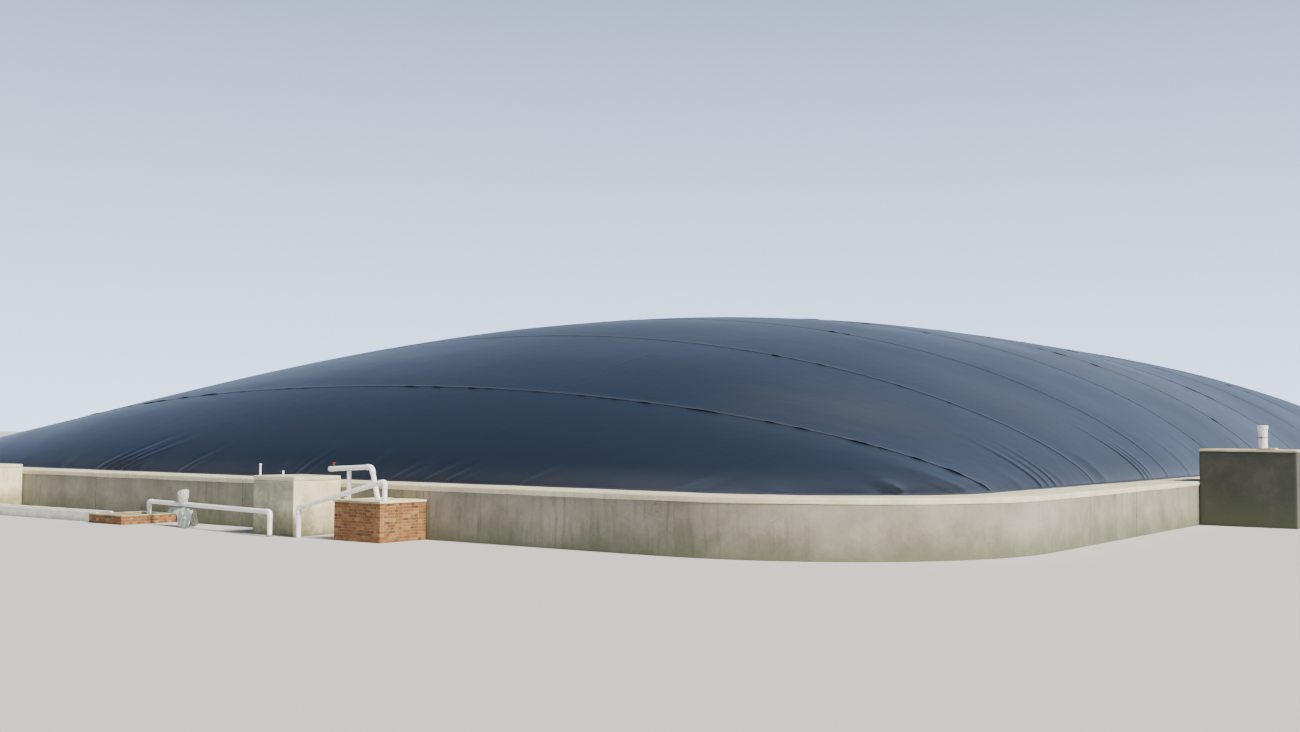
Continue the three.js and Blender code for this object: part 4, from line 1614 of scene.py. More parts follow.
@dataclass
class BrickWork:
    """Walls of fired brick in English bond: courses of stretchers and courses of headers, in mortar."""

    node: str
    name: str
    courses: int
    wall: float
    length: float = 0.024
    header: float = 0.0115
    bed: float = 0.0115
    joint: float = 1.0 * MM
    recess: float = 0.7 * MM
    edge: float = 0.45 * MM
    # How far a brick is set back or turned, and the share of bricks that have lost a corner.
    wander: float = 0.3 * MM
    turn: float = 0.012
    chipped: float = 0.12
    chip: float = 1.2 * MM
    mortar_wear: Wear = Wear(0.3 * MM, 9.0 * MM, 0.15 * MM)

    def build(self) -> None:
        """Builds the bricks and the mortar between them as two pieces."""
        low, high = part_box(self.node)
        bricks = self.lay_bricks(low, high, random.Random(self.name))
        finish_piece(f"{self.name}_bricks", bricks, Finish.BRICK, [self.node])
        inset = Vector((self.recess, self.recess, 0.0))
        top = high - Vector((0.0, self.recess, 0.0))
        core = wall_ring(low + inset, top, self.wall - self.recess, self.mortar_wear)
        finish_piece(f"{self.name}_mortar", core, Finish.MORTAR)

    def lay_bricks(self, low: Vector, high: Vector, draw: random.Random) -> Mesh:
        """Lays all courses on the front and the two side faces.

        Args:
            low: the lowest corner of the walls.
            high: the highest corner of the walls.
            draw: the source of random numbers.

        Returns:
            The bricks, each with its own tint.
        """
        shape = bmesh.new()
        shape.verts.layers.float.new("tint")
        course_height = (high.z - low.z) / self.courses
        brick_height = course_height - self.joint
        along_x, along_y = Vector((1, 0, 0)), Vector((0, 1, 0))
        for course in range(self.courses):
            bottom = low.z + course * course_height + self.joint / 2
            long_front = course % 2 == 0
            right = Vector((low.x, low.y, bottom))
            left = Vector((low.x, high.y, bottom))
            front = self.split_course(high.y - low.y, long_front, True)
            side = self.split_course(high.x - low.x, not long_front, False)
            faces = (
                (right, along_y, along_x, front),
                (right, along_x, along_y, side),
                (left, along_x, -along_y, side),
            )
            for start, heading, inward, places in faces:
                for near, far in places:
                    corner = start + heading * (near + self.joint / 2)
                    size = heading * (far - near - self.joint) + inward * self.bed + UP * brick_height
                    self.add_brick(shape, corner, size, inward, draw)
        return shape

    def split_course(self, reach: float, stretchers: bool, two_corners: bool) -> list[Range]:
        """Splits one course of a face into bricks.

        Stretchers start at the corner. Headers start behind the end of the other face's corner brick, after a
        closer of a quarter brick, so that no joint stands over the one below it.

        Args:
            reach: the face's length.
            stretchers: whether the course shows the long sides of its bricks.
            two_corners: whether the face has a corner at both ends.

        Returns:
            The two ends of each brick along the face, from the middle of one joint to the next.
        """
        unit = (self.length if stretchers else self.header) + self.joint
        quoin = self.bed + self.joint
        first = 0.0 if stretchers else quoin + unit / 2
        last = reach - first if two_corners else reach
        count = max(1, round((last - first) / unit))
        joints = [first + (last - first) * number / count for number in range(count + 1)]
        if not stretchers:
            joints = [quoin, *joints, reach - quoin] if two_corners else [quoin, *joints]
        return list(zip(joints, joints[1:]))

    def add_brick(
        self, shape: Mesh, corner: Vector, size: Vector, inward: Vector, draw: random.Random
    ) -> None:
        """Adds one brick with worn edges.

        Args:
            shape: the mesh that the brick goes into.
            corner: one corner of the brick.
            size: the way from that corner to the opposite one.
            inward: the direction into the wall.
            draw: the source of random numbers.
        """
        brick = bmesh.new()
        middle = corner + size / 2 + inward * draw.uniform(0, self.wander)
        turn = Matrix.Rotation(draw.uniform(-self.turn, self.turn), 4, "Z")
        spans = Matrix.Diagonal((*(abs(part) for part in size), 1))
        bmesh.ops.create_cube(brick, size=1.0, matrix=Matrix.Translation(middle) @ turn @ spans)
        bmesh.ops.bevel(
            brick, geom=brick.edges[:], offset=self.edge * draw.uniform(0.7, 1.3), segments=1, profile=0.5,
            affect="EDGES", material=-1,
        )
        if draw.random() < self.chipped:
            draw.choice(brick.verts[:]).co += inward * self.chip
        mark(brick, "tint", [draw.random()] * len(brick.verts))
        merge_in(shape, brick)


@dataclass
class FrontChambers:
    """The masonry at the front end: two plastered inlets, two brick chambers and the feed channel."""

    inlet_wall: float = 0.024
    inlet_wear: Wear = Wear(1.4 * MM, 7.0 * MM, 0.55 * MM)
    inlet_slab_wear: Wear = Wear(1.4 * MM, 7.0 * MM, 0.33 * MM)
    brick_wall: float = 0.024
    low_wall: float = 0.018
    slab_wear: Wear = Wear(1.1 * MM, 5.0 * MM, 0.8 * MM)
    coping_wear: Wear = Wear(0.8 * MM, 5.0 * MM, 0.5 * MM)
    channel_wall: float = 0.008
    channel_floor: float = 0.006
    channel_edge: float = 1.2 * MM
    channel_step: float = 0.012
    channel_rough: Range = (0.6 * MM, 0.03)

    def build(self) -> None:
        """Builds every chamber and the channel."""
        for number in (1, 2):
            node = f"inlet_box_{number}"
            walls, slab = f"plastered_walls_{number}", f"inlet_cover_slab_{number}"
            finish_walls(walls, f"{node}_walls", Finish.PLASTER, self.inlet_wall, self.inlet_wear)
            finish_block(slab, f"{node}_slab", Finish.KERB, self.inlet_slab_wear, 3.0 + number)
        BrickWork("brick_chamber_walls", "brick_chamber", 13, self.brick_wall).build()
        BrickWork("low_box_walls", "low_box", 3, self.low_wall).build()
        finish_block("brick_chamber_capping", "brick_chamber_slab", Finish.PLASTER, self.slab_wear, 8.0)
        finish_walls("low_box_capping", "low_box_coping", Finish.PLASTER, self.low_wall, self.coping_wear)
        self.build_channel()

    def build_channel(self) -> None:
        """Builds the open channel by sweeping its section, which is the same from both sides."""
        low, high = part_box("feed_channel")
        wall, floor, edge = self.channel_wall, self.channel_floor, self.channel_edge
        width, height = high.x - low.x, high.z - low.z
        half = [
            (0.0, 0.0), (0.0, height * 0.5), (0.0, height - edge), (edge, height), (wall - edge, height),
            (wall, height - edge), (wall, floor + edge), (wall + edge, floor),
        ]
        other = [(width - x, z) for x, z in reversed(half)]
        section = [*half, (width / 2, floor), *other, (width / 2, 0.0)]
        steps = round((high.y - low.y) / self.channel_step)
        rings = []
        for step in range(steps + 1):
            y = low.y + (high.y - low.y) * step / steps
            rings.append([Vector((low.x + x, y, low.z + z)) for x, z in section])
        shape = bmesh.new()
        skin_rings(shape, rings)
        roughen(shape, *self.channel_rough, 5.0)
        finish_piece("limewashed_feed_channel", shape, Finish.LIMEWASH, ["feed_channel"])


@dataclass
class OutletChamber:
    """The outlet chamber on the right side, with its slab and the vent pipe on a mortar pad."""

    wall: float = 0.024
    wall_wear: Wear = Wear(1.6 * MM, 9.0 * MM, 0.6 * MM)
    slab_wear: Wear = Wear(1.2 * MM, 9.0 * MM, 0.3 * MM)
    pad_wear: Wear = Wear(0.9 * MM, 3.0 * MM, 0.4 * MM)
    vent_sides: int = 48
    vent_wall: float = 1.5 * MM
    vent_lip: float = 0.5 * MM
    socket_height: float = 0.01
    socket_spread: float = 1.5 * MM
    strap_height: float = 0.028
    strap_band: float = 0.7 * MM
    strap_film: float = 0.5 * MM
    bolt_place: Range = (-1.2 * MM, 0.8 * MM)
    bolt_half: Triple = (1.6 * MM, 1.0 * MM, 2.6 * MM)
    bolt_wear: Wear = Wear(0.3 * MM, 3.0 * MM, 0.0)

    def build(self) -> None:
        """Builds the chamber, its slab, the pad and the vent."""
        finish_walls("outlet_walls", "outlet_chamber_walls", Finish.OUTLET_RENDER, self.wall, self.wall_wear)
        finish_block("outlet_cover_slab", "outlet_chamber_slab", Finish.KERB, self.slab_wear, 4.0)
        finish_block("vent_mortar_pad", "vent_pad", Finish.PLASTER, self.pad_wear, 6.0)
        self.build_vent()

    def build_vent(self) -> None:
        """Builds the vent pipe, its socket and the strap round it."""
        low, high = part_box("vent_pipe")
        centre = foot_centre(low, high)
        socket = (high.x - low.x) / 2
        outer = socket - self.socket_spread
        bore = outer - self.vent_wall
        height = high.z - low.z
        shoulder = height - self.socket_height
        lip = self.vent_lip
        profile = [
            (bore, 0.0), (outer, 0.0), (outer, shoulder * 0.5), (outer, shoulder - self.socket_spread),
            (socket, shoulder), (socket, height - lip), (socket - lip, height), (bore + lip, height),
            (bore, height - lip), (bore, shoulder * 0.5),
        ]
        pipe = bmesh.new()
        add_lathe(pipe, centre, UP, profile, self.vent_sides)
        finish_piece("vent_stack", pipe, Finish.PVC, ["vent_pipe"])
        strap = bmesh.new()
        rim, band = outer + self.strap_film, self.strap_band
        section = [(outer, -band), (rim, -band), (rim, band), (outer, band)]
        add_lathe(strap, centre + UP * self.strap_height, UP, section, self.vent_sides)
        bolt = centre + Vector((self.bolt_place[0] - outer, self.bolt_place[1], self.strap_height))
        half = Vector(self.bolt_half)
        merge_in(strap, block(bolt - half, bolt + half, self.bolt_wear))
        finish_piece("vent_strap", strap, Finish.STRAP)


@dataclass
class Pipework:
    """The white pipes: two on the brick chamber, one along the front with its wrapped valve, and two stubs.

    The points are the centres of bends and ends in the plant's axes. Profiles pair a radius and a distance.
    """

    axes: PlantAxes
    radius: float = 5.5 * MM
    leg_radius: float = 4.8 * MM
    # An elbow's bend, how far its sockets reach from its corner, and how far a pipe stands in them.
    bend: float = 9.0 * MM
    bend_steps: int = 10
    reach: float = 15.0 * MM
    lip: float = 1.6 * MM
    socket: float = 0.65 * MM
    # The share of a pipe's radius from which a collar on it starts.
    inside: float = 0.9
    gap: float = 0.3 * MM
    sides: int = 32
    cap_spread: float = 0.55 * MM
    cap_edge: float = 1.2 * MM
    cap_length: float = 10.0 * MM
    upper_x: float = -4.605
    upper_foot_y: float = -0.898
    upper_bend: Range = (-0.877, 0.161)
    upper_cap: Range = (-0.743, 0.154)
    leg_y: float = -0.806
    tap_y: float = -0.756
    lower_foot: Range = (-4.62, -0.934)
    lower_top: float = 0.131
    lower_end: Triple = (-4.646, -0.69, 0.068)
    left_start: Range = (-4.565, -0.0262)
    left_end: Range = (-4.665, -0.615)
    left_height: float = 0.055
    # A dab of mortar, in millimetres, and how far it strays.
    dab: Profile = ((0.0, -0.2), (9.0, -0.2), (8.4, 1.2), (6.6, 2.6), (5.2, 3.6), (0.0, 3.8))
    dab_rough: Range = (1.0 * MM, 6.0 * MM)
    # The tap, in millimetres: its saddle and stem from below, and its bonnet down from the top.
    tap_foot: Profile = ((0.0, -1.0), (3.6, -1.0), (3.6, 0.4), (2.4, 0.9), (2.4, 1.8), (2.0, 2.1))
    tap_top: Profile = ((2.0, 1.6), (2.5, 1.4), (2.5, 0.3), (1.1, 0.0), (0.0, 0.0))
    # The stubs' foot and cap, in millimetres: how much narrower than the node, and how far from its end.
    stub_foot: Profile = ((0.0, 0.0), (0.0, 1.2), (0.35, 1.6))
    stub_top: Profile = ((0.35, 3.2), (0.0, 2.8), (0.0, 0.5), (0.6, 0.0))
    lever_wear: Wear = Wear(0.6 * MM, 1.4 * MM, 0.0)
    # How much narrower and thinner the lever is at its ends.
    lever_taper: Range = (0.3, 0.35)

    def elbow_pipe(self, name: str, node: str, foot: Vector, corner: Vector, towards: Vector) -> None:
        """Builds an upright pipe with an elbow on top.

        Args:
            name: the piece's name.
            node: the plain node that it replaces.
            foot: the pipe's lower end.
            corner: where the two centre lines meet.
            towards: a point that the elbow looks to.
        """
        down = (foot - corner).normalized()
        ahead = (towards - corner).normalized()
        bend_start, bend_end = corner + down * self.bend, corner + ahead * self.bend
        curve = []
        for step in range(self.bend_steps + 1):
            share = step / self.bend_steps
            curve.append(
                bend_start * (1 - share) ** 2 + corner * (2 * share * (1 - share)) + bend_end * share**2
            )
        start, mouth = corner + down * self.reach, corner + ahead * self.reach
        shape = bmesh.new()
        add_tube(shape, [foot, start], self.radius, self.sides)
        add_tube(shape, [start, *curve, mouth], self.radius + self.socket, self.sides)
        inner, ring = self.radius * self.inside, self.radius + 1.5 * self.socket
        crest = ring + 0.2 * MM
        collar = [(inner, -self.lip), (ring, -self.lip), (crest, -self.lip / 2), (ring, 0.0), (inner, 0.0)]
        for end, heading in ((start, down), (mouth, ahead)):
            add_lathe(shape, end, heading, collar, self.sides)
        finish_piece(name, shape, Finish.PVC, [node])

    def straight_pipe(
        self, name: str, node: str, start: Vector, end: Vector, radius: float, capped: bool = False
    ) -> None:
        """Builds a straight length, with a glued cap on its end if it ends free.

        Args:
            name: the piece's name.
            node: the plain node that it replaces.
            start: one end's centre.
            end: the other end's centre.
            radius: the pipe's radius.
            capped: whether the end has a cap.
        """
        shape = bmesh.new()
        add_tube(shape, [start, start.lerp(end, 0.5), end], radius, self.sides)
        if capped:
            outer, edge = radius + self.cap_spread, self.cap_edge
            profile = [
                (0.0, 0.0), (outer - edge, 0.0), (outer, -edge), (outer, 0.5 * MM - self.cap_length),
                (radius * self.inside, -self.cap_length), (0.0, -self.cap_length),
            ]
            add_lathe(shape, end, (end - start).normalized(), profile, self.sides)
        finish_piece(name, shape, Finish.PVC, [node])

    def mouth(self, corner: Vector, towards: Vector) -> Vector:
        """The point where a straight pipe enters an elbow."""
        return corner + (towards - corner).normalized() * (self.reach - self.lip)

    def build_upper(self) -> None:
        """Builds the upper pipe on the brick chamber, its leg and its tap."""
        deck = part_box("brick_chamber_slab")[1].z + self.gap
        foot = self.axes.at(self.upper_x, self.upper_foot_y, deck)
        corner = self.axes.at(self.upper_x, *self.upper_bend)
        cap = self.axes.at(self.upper_x, *self.upper_cap)
        self.elbow_pipe("upper_riser", "upper_pipe_drop", foot, corner, cap)
        mouth = self.mouth(corner, cap)
        self.straight_pipe("upper_run", "upper_pipe_run", mouth, cap, self.radius, capped=True)
        slope = (corner.z - cap.z) / (corner.y - cap.y)
        leg_foot = self.axes.at(self.upper_x, self.leg_y, deck)
        leg_top = leg_foot.copy()
        leg_top.z = corner.z + slope * (leg_top.y - corner.y) - self.radius
        self.straight_pipe("upper_leg", "upper_pipe_leg", leg_foot, leg_top, self.leg_radius)
        self.build_dab("leg_mortar_dab", leg_foot + Vector((-1.5 * MM, 2.5 * MM, 0.0)), 9.0)
        tap = self.axes.at(self.upper_x, self.tap_y, 0.0)
        tap.z = corner.z + slope * (tap.y - corner.y) + self.radius
        self.build_tap(tap)

    def build_dab(self, name: str, foot: Vector, seed: float) -> None:
        """Builds a dab of mortar that beds the foot of a pipe.

        Args:
            name: the piece's name.
            foot: the dab's middle, on the surface under it.
            seed: moves the unevenness.
        """
        shape = bmesh.new()
        profile = [(radius * MM, reach * MM) for radius, reach in self.dab]
        add_lathe(shape, foot, UP, profile, 28)
        roughen(shape, *self.dab_rough, seed)
        for vertex in shape.verts:
            vertex.co.z = max(vertex.co.z, foot.z + profile[0][1])
        finish_piece(name, shape, Finish.PLASTER)

    def build_tap(self, foot: Vector) -> None:
        """Builds the small tap on the upper pipe: saddle, brass body, stem and red lever.

        Args:
            foot: the point of the pipe's top that it stands on.
        """
        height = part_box("tap_body")[1].z - foot.z
        brass = bmesh.new()
        profile = [(radius * MM, reach * MM) for radius, reach in self.tap_foot]
        profile += [(radius * MM, height - drop * MM) for radius, drop in self.tap_top]
        add_lathe(brass, foot, UP, profile, 12)
        finish_piece("brass_tap", brass, Finish.BRASS, ["tap_body"])
        low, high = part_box("tap_handle")
        lever = block(low, high, self.lever_wear)
        middle = (low + high) / 2
        for vertex in lever.verts:
            away = abs(vertex.co.y - middle.y) / ((high.y - low.y) / 2)
            vertex.co.x = middle.x + (vertex.co.x - middle.x) * (1.0 - self.lever_taper[0] * away)
            vertex.co.z = middle.z + (vertex.co.z - middle.z) * (1.0 - self.lever_taper[1] * away)
        finish_piece("red_lever", lever, Finish.LEVER, ["tap_handle"])

    def build_line(self, name: str, foot: Vector, start: Vector, end: Vector) -> None:
        """Builds a whole pipe: a riser, a run and a drop to the ground, with elbows between them.

        Args:
            name: the first word of its pieces' and its plain nodes' names.
            foot: the riser's lower end.
            start: the corner over the riser.
            end: the corner over the drop.
        """
        self.elbow_pipe(f"{name}_riser", f"{name}_pipe_riser", foot, start, end)
        mouths = self.mouth(start, end), self.mouth(end, start)
        self.straight_pipe(f"{name}_run", f"{name}_pipe_run", *mouths, self.radius)
        self.elbow_pipe(f"{name}_drop", f"{name}_pipe_drop", Vector((end.x, end.y, 0.0)), end, start)

    def build_lower(self) -> None:
        """Builds the lower pipe, which slopes from the brick chamber to the ground."""
        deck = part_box("brick_chamber_slab")[1].z + self.gap
        foot = self.axes.at(*self.lower_foot, deck)
        top = self.axes.at(*self.lower_foot, self.lower_top)
        self.build_line("lower", foot, top, self.axes.at(*self.lower_end))

    def build_left(self) -> None:
        """Builds the left pipe, which the wrapped valve sits on."""
        start = self.axes.at(*self.left_start, self.left_height)
        end = self.axes.at(*self.left_end, self.left_height)
        self.build_line("left", Vector((start.x, start.y, 0.0)), start, end)
        self.build_dab("drop_mortar_dab", Vector((end.x, end.y, self.gap)), 12.0)

    def build_stubs(self) -> None:
        """Builds the two thin stubs on the first inlet, with a socket at the foot and a cap."""
        for node, name in (("inlet_stub_tall", "tall_stub"), ("inlet_stub_short", "short_stub")):
            low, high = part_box(node)
            radius, height = (high.x - low.x) / 2, high.z - low.z
            profile = [(0.0, 0.0)]
            profile += [(radius - less * MM, rise * MM) for less, rise in self.stub_foot]
            profile += [(radius - less * MM, height - drop * MM) for less, drop in self.stub_top]
            profile.append((0.0, height))
            shape = bmesh.new()
            add_lathe(shape, foot_centre(low, high), UP, profile, 24)
            finish_piece(name, shape, Finish.PVC, [node])

    def build(self) -> None:
        """Builds all pipes."""
        self.build_upper()
        self.build_lower()
        self.build_left()
        self.build_stubs()


@dataclass
class ValveFilm:
    """Plastic film tied round the valve on the left pipe: a full head over the handle, and a loose skirt.

    The film's own axes run along the pipe to the right, away from the basin, and up, in millimetres.
    """

    pipes: Pipework
    y: float = -0.206
    pipe_clear: float = 6.1
    # Cells round the film and from its crown to the hem, and how many of those are the head's.
    cells: tuple[int, int] = (156, 88)
    head_rows: int = 38
    # Radius and height from the crown of the head down to the neck, which is tied under the pipe.
    head: Profile = (
        (0.0, 88.9), (4.0, 89.6), (8.0, 89.9), (11.2, 88.6), (13.0, 85.0), (13.9, 80.0), (13.7, 74.0),
        (12.6, 68.0), (11.0, 62.0), (9.4, 56.5), (7.6, 51.5), (6.0, 48.4), (5.7, 46.6),
    )
    # The hem at even steps of the turn, from the right by the side away from the basin.
    hem: tuple[Triple, ...] = (
        (58.0, 2.0, 42.0), (78.0, 12.0, 39.0), (85.0, 19.0, 34.0), (86.0, 22.0, 20.0), (80.0, 24.0, 0.7),
        (66.0, 25.0, 0.7), (50.0, 26.0, 0.7), (36.0, 25.0, 0.7), (25.0, 23.0, 0.7), (16.0, 21.0, 2.0),
        (9.0, 19.0, 22.0), (0.0, 17.0, 31.0), (-14.0, 15.0, 33.0), (-32.0, 13.0, 32.0), (-50.0, 11.0, 31.0),
        (-61.0, 8.0, 35.0), (-63.0, 4.0, 41.0), (-60.0, 0.0, 46.0), (-56.0, -3.0, 46.0),
        (-54.0, -7.0, 42.0), (-48.0, -11.0, 32.0), (-38.0, -15.0, 20.0), (-24.0, -18.0, 8.0),
        (-8.0, -20.0, 0.7), (10.0, -20.0, 0.7), (28.0, -19.0, 0.7), (44.0, -16.0, 8.0),
        (54.0, -12.0, 22.0), (58.0, -7.0, 34.0), (58.0, -2.0, 41.0),
    )
    # The skirt spreads a little faster than evenly, and falls late.
    spread_power: float = 0.9
    fall_power: float = 1.5
    # Folds run out from the neck, and straight hard creases cross them.
    fold_count: float = 4.6
    fold_height: float = 4.2 * MM
    fold_run: float = 0.25
    fold_run_length: float = 40.0
    fold_middle: float = 0.45
    fold_depth: float = 1.6
    # Shares of the folds and creases at the neck, and what they gain or lose down to the hem and up the head.
    fold_shares: Triple = (0.22, 0.78, -0.75)
    crease_shares: Triple = (0.35, 0.65, 0.15)
    head_reach: float = 30.0
    creases: int = 22
    crease_spacing: Range = (0.01, 0.036)
    crease_depth: float = 0.085
    crease_bend: float = 0.006
    crease_seed: int = 5
    # The tie's turns round the neck, in millimetres: height, drop from one to the next, and waver.
    tie_turns: int = 3
    tie_height: float = 47.4
    tie_drop: float = 1.1
    tie_waver: float = 0.4
    tie_radius: float = 6.5
    tie_band: float = 0.6 * MM
    film: float = 0.25 * MM
    # The lowest that the film lies over the ground, in millimetres.
    ground: float = 0.5
    # The piece of film before it was tied: width and length.
    cut: Range = (0.13, 0.14)

    def build(self) -> None:
        """Builds the film and its tie."""
        first, last = self.pipes.left_start, self.pipes.left_end
        start, end = (self.pipes.axes.at(*place, 0.0) for place in (first, last))
        along = (end - start).normalized()
        out = Vector((along.y, -along.x, 0.0))
        centre = start.lerp(end, (self.y - first[1]) / (last[1] - first[1]))
        # From the film's own axes, in millimetres, to the frame.
        home = Matrix((along, out, UP)).transposed().to_4x4()
        home = Matrix.Translation(centre) @ home @ Matrix.Scale(MM, 4)
        shape = bmesh.new()
        turn, down = unit_grid(shape, *self.cells)
        move_to(shape, self.hung(turn, down))
        bmesh.ops.remove_doubles(shape, verts=shape.verts[:], dist=0.05)
        for _ in range(2):
            bmesh.ops.smooth_vert(
                shape, verts=shape.verts[:], factor=0.5, use_axis_x=True, use_axis_y=True, use_axis_z=True
            )
        bmesh.ops.transform(shape, matrix=home, verts=shape.verts[:])
        bmesh.ops.recalc_face_normals(shape, faces=shape.faces[:])
        highest = max(shape.faces, key=lambda face: face.calc_center_median().z)
        if highest.normal.z < 0:
            bmesh.ops.reverse_faces(shape, faces=shape.faces[:])
        self.crumple(shape, home.inverted())
        self.keep_clear(shape, home)
        log.info("film area %.4f m2", sum(face.calc_area() for face in shape.faces))
        film = finish_piece("valve_film", shape, Finish.FILM, ["left_valve_wrap"])
        give_thickness(film, self.film, 0.0)
        tie = self.build_tie(home)

    def build_tie(self, home: Matrix) -> bpy.types.Object:
        """Builds the turns of band round the neck.

        Args:
            home: the way from the film's own axes to the frame.

        Returns:
            The tie.
        """
        tie = bmesh.new()
        steps = 36
        for number in range(self.tie_turns):
            loop = []
            for step in range(steps + 1):
                angle = math.tau * step / steps
                flat = Vector((math.cos(angle), math.sin(angle), 0.0)) * self.tie_radius
                height = self.tie_height - self.tie_drop * number + self.tie_waver * math.sin(angle + number)
                loop.append(home @ (flat + UP * height))
            add_tube(tie, loop, self.tie_band, 8)
        return finish_piece("film_tie", tie, Finish.TWINE)

    def hung(self, turn: Array, down: Array) -> Array:
        """Finds the points of the smooth film in its own axes.

        Args:
            turn: shares of the way round the head, from the pipe's direction.
            down: shares of the way from the crown to the hem.

        Returns:
            The points, in millimetres.
        """
        split = self.head_rows / self.cells[1]
        head = np.array(self.head)
        in_head = np.clip(down / split, 0.0, 1.0)
        rows = np.linspace(0.0, 1.0, len(head))
        radius, height = (np.interp(in_head, rows, head[:, part]) for part in range(2))
        hem = np.array([*self.hem, self.hem[0]])
        places = np.linspace(0.0, 1.0, len(hem))
        ends = np.stack([np.interp(turn, places, hem[:, axis]) for axis in range(3)], axis=1)
        in_skirt = np.clip((down - split) / (1.0 - split), 0.0, 1.0)[:, None]
        neck = np.stack([np.cos(turn * math.tau) * radius, np.sin(turn * math.tau) * radius], axis=1)
        plan = neck + (ends[:, :2] - neck) * in_skirt**self.spread_power
        fall = height[:, None] + (ends[:, 2:] - height[:, None]) * in_skirt**self.fall_power
        return np.hstack([plan, fall])

    def crumple(self, shape: Mesh, to_film: Matrix) -> None:
        """Folds and creases the film; folds grow from the neck to the hem and are weak on the head.

        Args:
            shape: the film.
            to_film: the way from the frame to the film's own axes.
        """
        shape.normal_update()
        own = np.array([(to_film @ vertex.co)[:] for vertex in shape.verts])
        turn = np.arctan2(own[:, 1], own[:, 0])
        below = ease(-own[:, 2], -self.tie_height, 0.0)
        above = ease(own[:, 2], self.tie_height, self.tie_height + self.head_reach)
        out = self.fold_run * np.hypot(own[:, 0], own[:, 1]) / self.fold_run_length
        around = np.stack([np.cos(turn), np.sin(turn), out], axis=1)
        folds = self.fold_middle - self.fold_depth * np.abs(noise_at(around, 1.0 / self.fold_count, 4.0))
        neck, hem, head = self.fold_shares
        moves = self.fold_height * folds * (neck + hem * below) * (1.0 + head * above)
        neck, hem, head = self.crease_shares
        moves += self.creased(points_of(shape)) * (neck + hem * below + head * above)
        for vertex, move in zip(shape.verts, moves):
            vertex.co += vertex.normal * move

    def creased(self, points: Array) -> Array:
        """Gives the relief of a crumpled sheet: sets of straight ridges with flat facets between them.

        Args:
            points: one row of three coordinates for each point.

        Returns:
            One height for each point.
        """
        draw = random.Random(self.crease_seed)
        # A slow bend keeps the ridges from running dead straight through the whole film.
        bend = self.crease_bend * noise_at(points, 0.03, 2.0)
        total = np.zeros(len(points))
        for _ in range(self.creases):
            heading = np.array([draw.gauss(0, 1), draw.gauss(0, 1), draw.gauss(0, 0.6)])
            heading /= np.linalg.norm(heading)
            spacing = draw.uniform(*self.crease_spacing)
            place = (points @ heading + bend) / spacing + draw.random()
            total += self.crease_depth * spacing * (np.abs(place % 1.0 - 0.5) * 2.0 - 0.5)
        return total

    def keep_clear(self, shape: Mesh, home: Matrix) -> None:
        """Keeps the skirt out of the pipe and off the ground.

        Args:
            shape: the film.
            home: the way from the film's own axes to the frame.
        """
        to_film = home.inverted()
        axis = Vector((0.0, 0.0, self.pipes.left_height / MM))
        for vertex in shape.verts:
            own = to_film @ vertex.co
            away = Vector((0.0, own.y, own.z)) - axis
            if own.z < self.tie_height + 2.0 and away.length < self.pipe_clear:
                own += away.normalized() * (self.pipe_clear - away.length)
            own.z = max(own.z, self.ground)
            vertex.co = home @ own


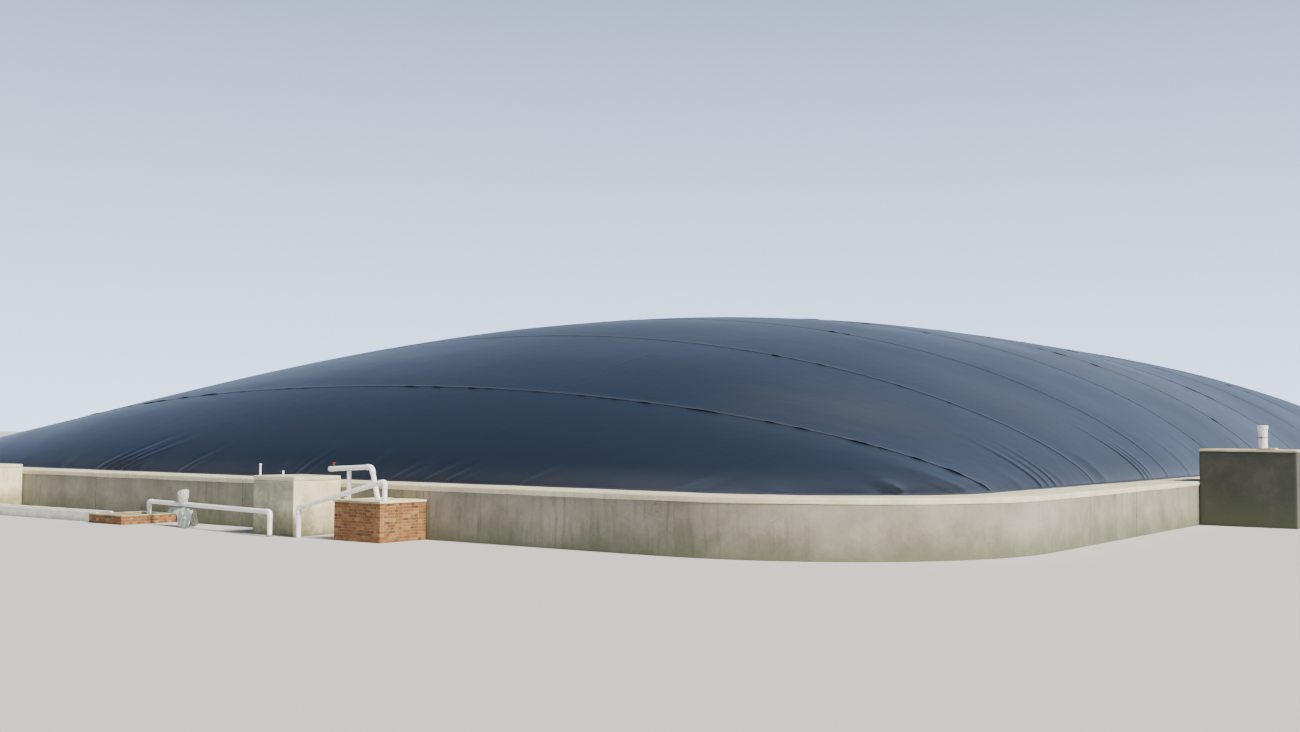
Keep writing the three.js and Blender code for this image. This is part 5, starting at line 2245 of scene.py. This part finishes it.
@dataclass
class Studio:
    """The plain floor, the soft light and the camera at the photograph's viewing angle."""

    axes: PlantAxes
    floor_radius: float = 80.0
    floor_sides: int = 180
    floor_gap: float = 0.4 * MM
    floor_colour: str = "C6C4BD"
    floor_roughness: float = 0.9
    # The surround is pale at eye level and a deeper blue from 30 degrees up, where the height is a half.
    sky_low: str = "C3D6F5"
    sky_high: str = "6A7CA2"
    sky_top: float = 0.5
    sky_low_strength: float = 3.35
    sky_high_strength: float = 1.0
    matt_share: float = 0.45
    key_direction: Triple = (-0.04, -0.9, 0.85)
    key_colour: Triple = (1.0, 0.965, 0.9)
    key_strength: float = 1.0
    matt_key_strength: float = 8.6
    key_softness: float = 0.3
    # The photograph is 1300 by 732 pixels; its focal length, horizon row and tilt come from the fit.
    picture_width: float = 1300.0
    picture_height: float = 732.0
    focal_length: float = 1400.0
    horizon_row: float = 432.7
    tilt: float = 0.0088
    sensor: float = 36.0
    clip: Range = (0.05, 200.0)
    camera_place: Triple = (-6.767, -3.149, 0.2415)
    camera_heading: float = 0.6151

    def build_floor(self) -> None:
        """Lays the floor."""
        shape = bmesh.new()
        bmesh.ops.create_circle(shape, cap_ends=True, segments=self.floor_sides, radius=self.floor_radius)
        mesh = bpy.data.meshes.new("studio_floor")
        shape.to_mesh(mesh)
        shape.free()
        mesh.transform(Matrix.Translation((0.0, 0.0, -self.floor_gap)))
        material = bpy.data.materials.new("studio_floor_paint")
        add = start_nodes(material)
        paint = {"Base Color": linear(self.floor_colour), "Roughness": self.floor_roughness}
        add("OutputMaterial", {"Surface": add("BsdfPrincipled", paint)})
        mesh.materials.append(material)
        floor = bpy.data.objects.new("studio_floor", mesh)
        bpy.context.scene.collection.objects.link(floor)

    def build_light(self) -> None:
        """Sets the pale surround and the soft key lights from the right.

        The surround shows in gloss at full strength and lights matt faces less, so that shade stays deep.
        Most of the key doesn't show in gloss, so that the cover isn't burnt out.
        """
        world = bpy.data.worlds.new("studio_surround")
        add = start_nodes(world)
        direction = add("TexCoord").outputs["Generated"]
        height = add("SeparateXYZ", {"Vector": direction}).outputs["Z"]
        overhead = add("MapRange", [height, 0.0, self.sky_top])
        sky = add("Mix", [overhead, linear(self.sky_low), linear(self.sky_high)], data_type="RGBA")
        strength = add("MapRange", [overhead, 0.0, 1.0, self.sky_low_strength, self.sky_high_strength])
        on_matt = add("LightPath").outputs["Is Diffuse Ray"]
        share = add("MapRange", [on_matt, 0.0, 1.0, 1.0, self.matt_share])
        shown = add("Math", [strength, share], operation="MULTIPLY")
        add("OutputWorld", {"Surface": add("Background", {"Color": sky, "Strength": shown})})
        bpy.context.scene.world = world
        self.build_key("key_light", self.key_strength, True)
        self.build_key("matt_key_light", self.matt_key_strength, False)

    def build_key(self, name: str, strength: float, in_gloss: bool) -> None:
        """Sets one soft light from the key's direction.

        Args:
            name: the light's name.
            strength: its strength.
            in_gloss: whether it also shows in gloss.
        """
        key = bpy.data.lights.new(name, "SUN")
        key.energy = strength
        key.angle = self.key_softness
        key.color = self.key_colour
        lamp = bpy.data.objects.new(name, key)
        lamp.rotation_euler = Vector(self.key_direction).to_track_quat("Z", "Y").to_euler()
        lamp.visible_glossy = in_gloss
        bpy.context.scene.collection.objects.link(lamp)

    def build_camera(self) -> None:
        """Sets the camera where the photograph was taken from."""
        data = bpy.data.cameras.new("photo_camera")
        data.sensor_fit = "HORIZONTAL"
        data.sensor_width = self.sensor
        data.lens = self.sensor * self.focal_length / self.picture_width
        data.clip_start, data.clip_end = self.clip
        pitch = math.atan((self.horizon_row - self.picture_height / 2) / self.focal_length)
        level = Vector((math.cos(self.camera_heading), math.sin(self.camera_heading), 0.0))
        ahead = level * math.cos(pitch) + UP * math.sin(pitch)
        right = level.cross(UP).normalized()
        turned = Matrix((right, right.cross(ahead), -ahead)).transposed().to_4x4()
        place = Matrix.Translation(self.axes.at(*self.camera_place))
        camera = bpy.data.objects.new("photo_camera", data)
        camera.matrix_world = place @ turned @ Matrix.Rotation(self.tilt, 4, "Z")
        bpy.context.scene.collection.objects.link(camera)
        bpy.context.scene.camera = camera

    def build(self) -> None:
        """Builds the floor, the light and the camera."""
        self.build_camera()
        self.build_floor()
        self.build_light()


def main() -> None:
    """Builds every sub-assembly round the frame."""
    logging.basicConfig(level=logging.INFO, format="%(message)s")
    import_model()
    axes = PlantAxes.from_frame()
    Studio(axes).build()
    InflatedCover(axes).build()
    ConcreteRim(axes).build()
    FrontChambers().build()
    OutletChamber().build()
    pipes = Pipework(axes)
    pipes.build()
    ValveFilm(pipes).build()


if __name__ == "__main__":
    main()
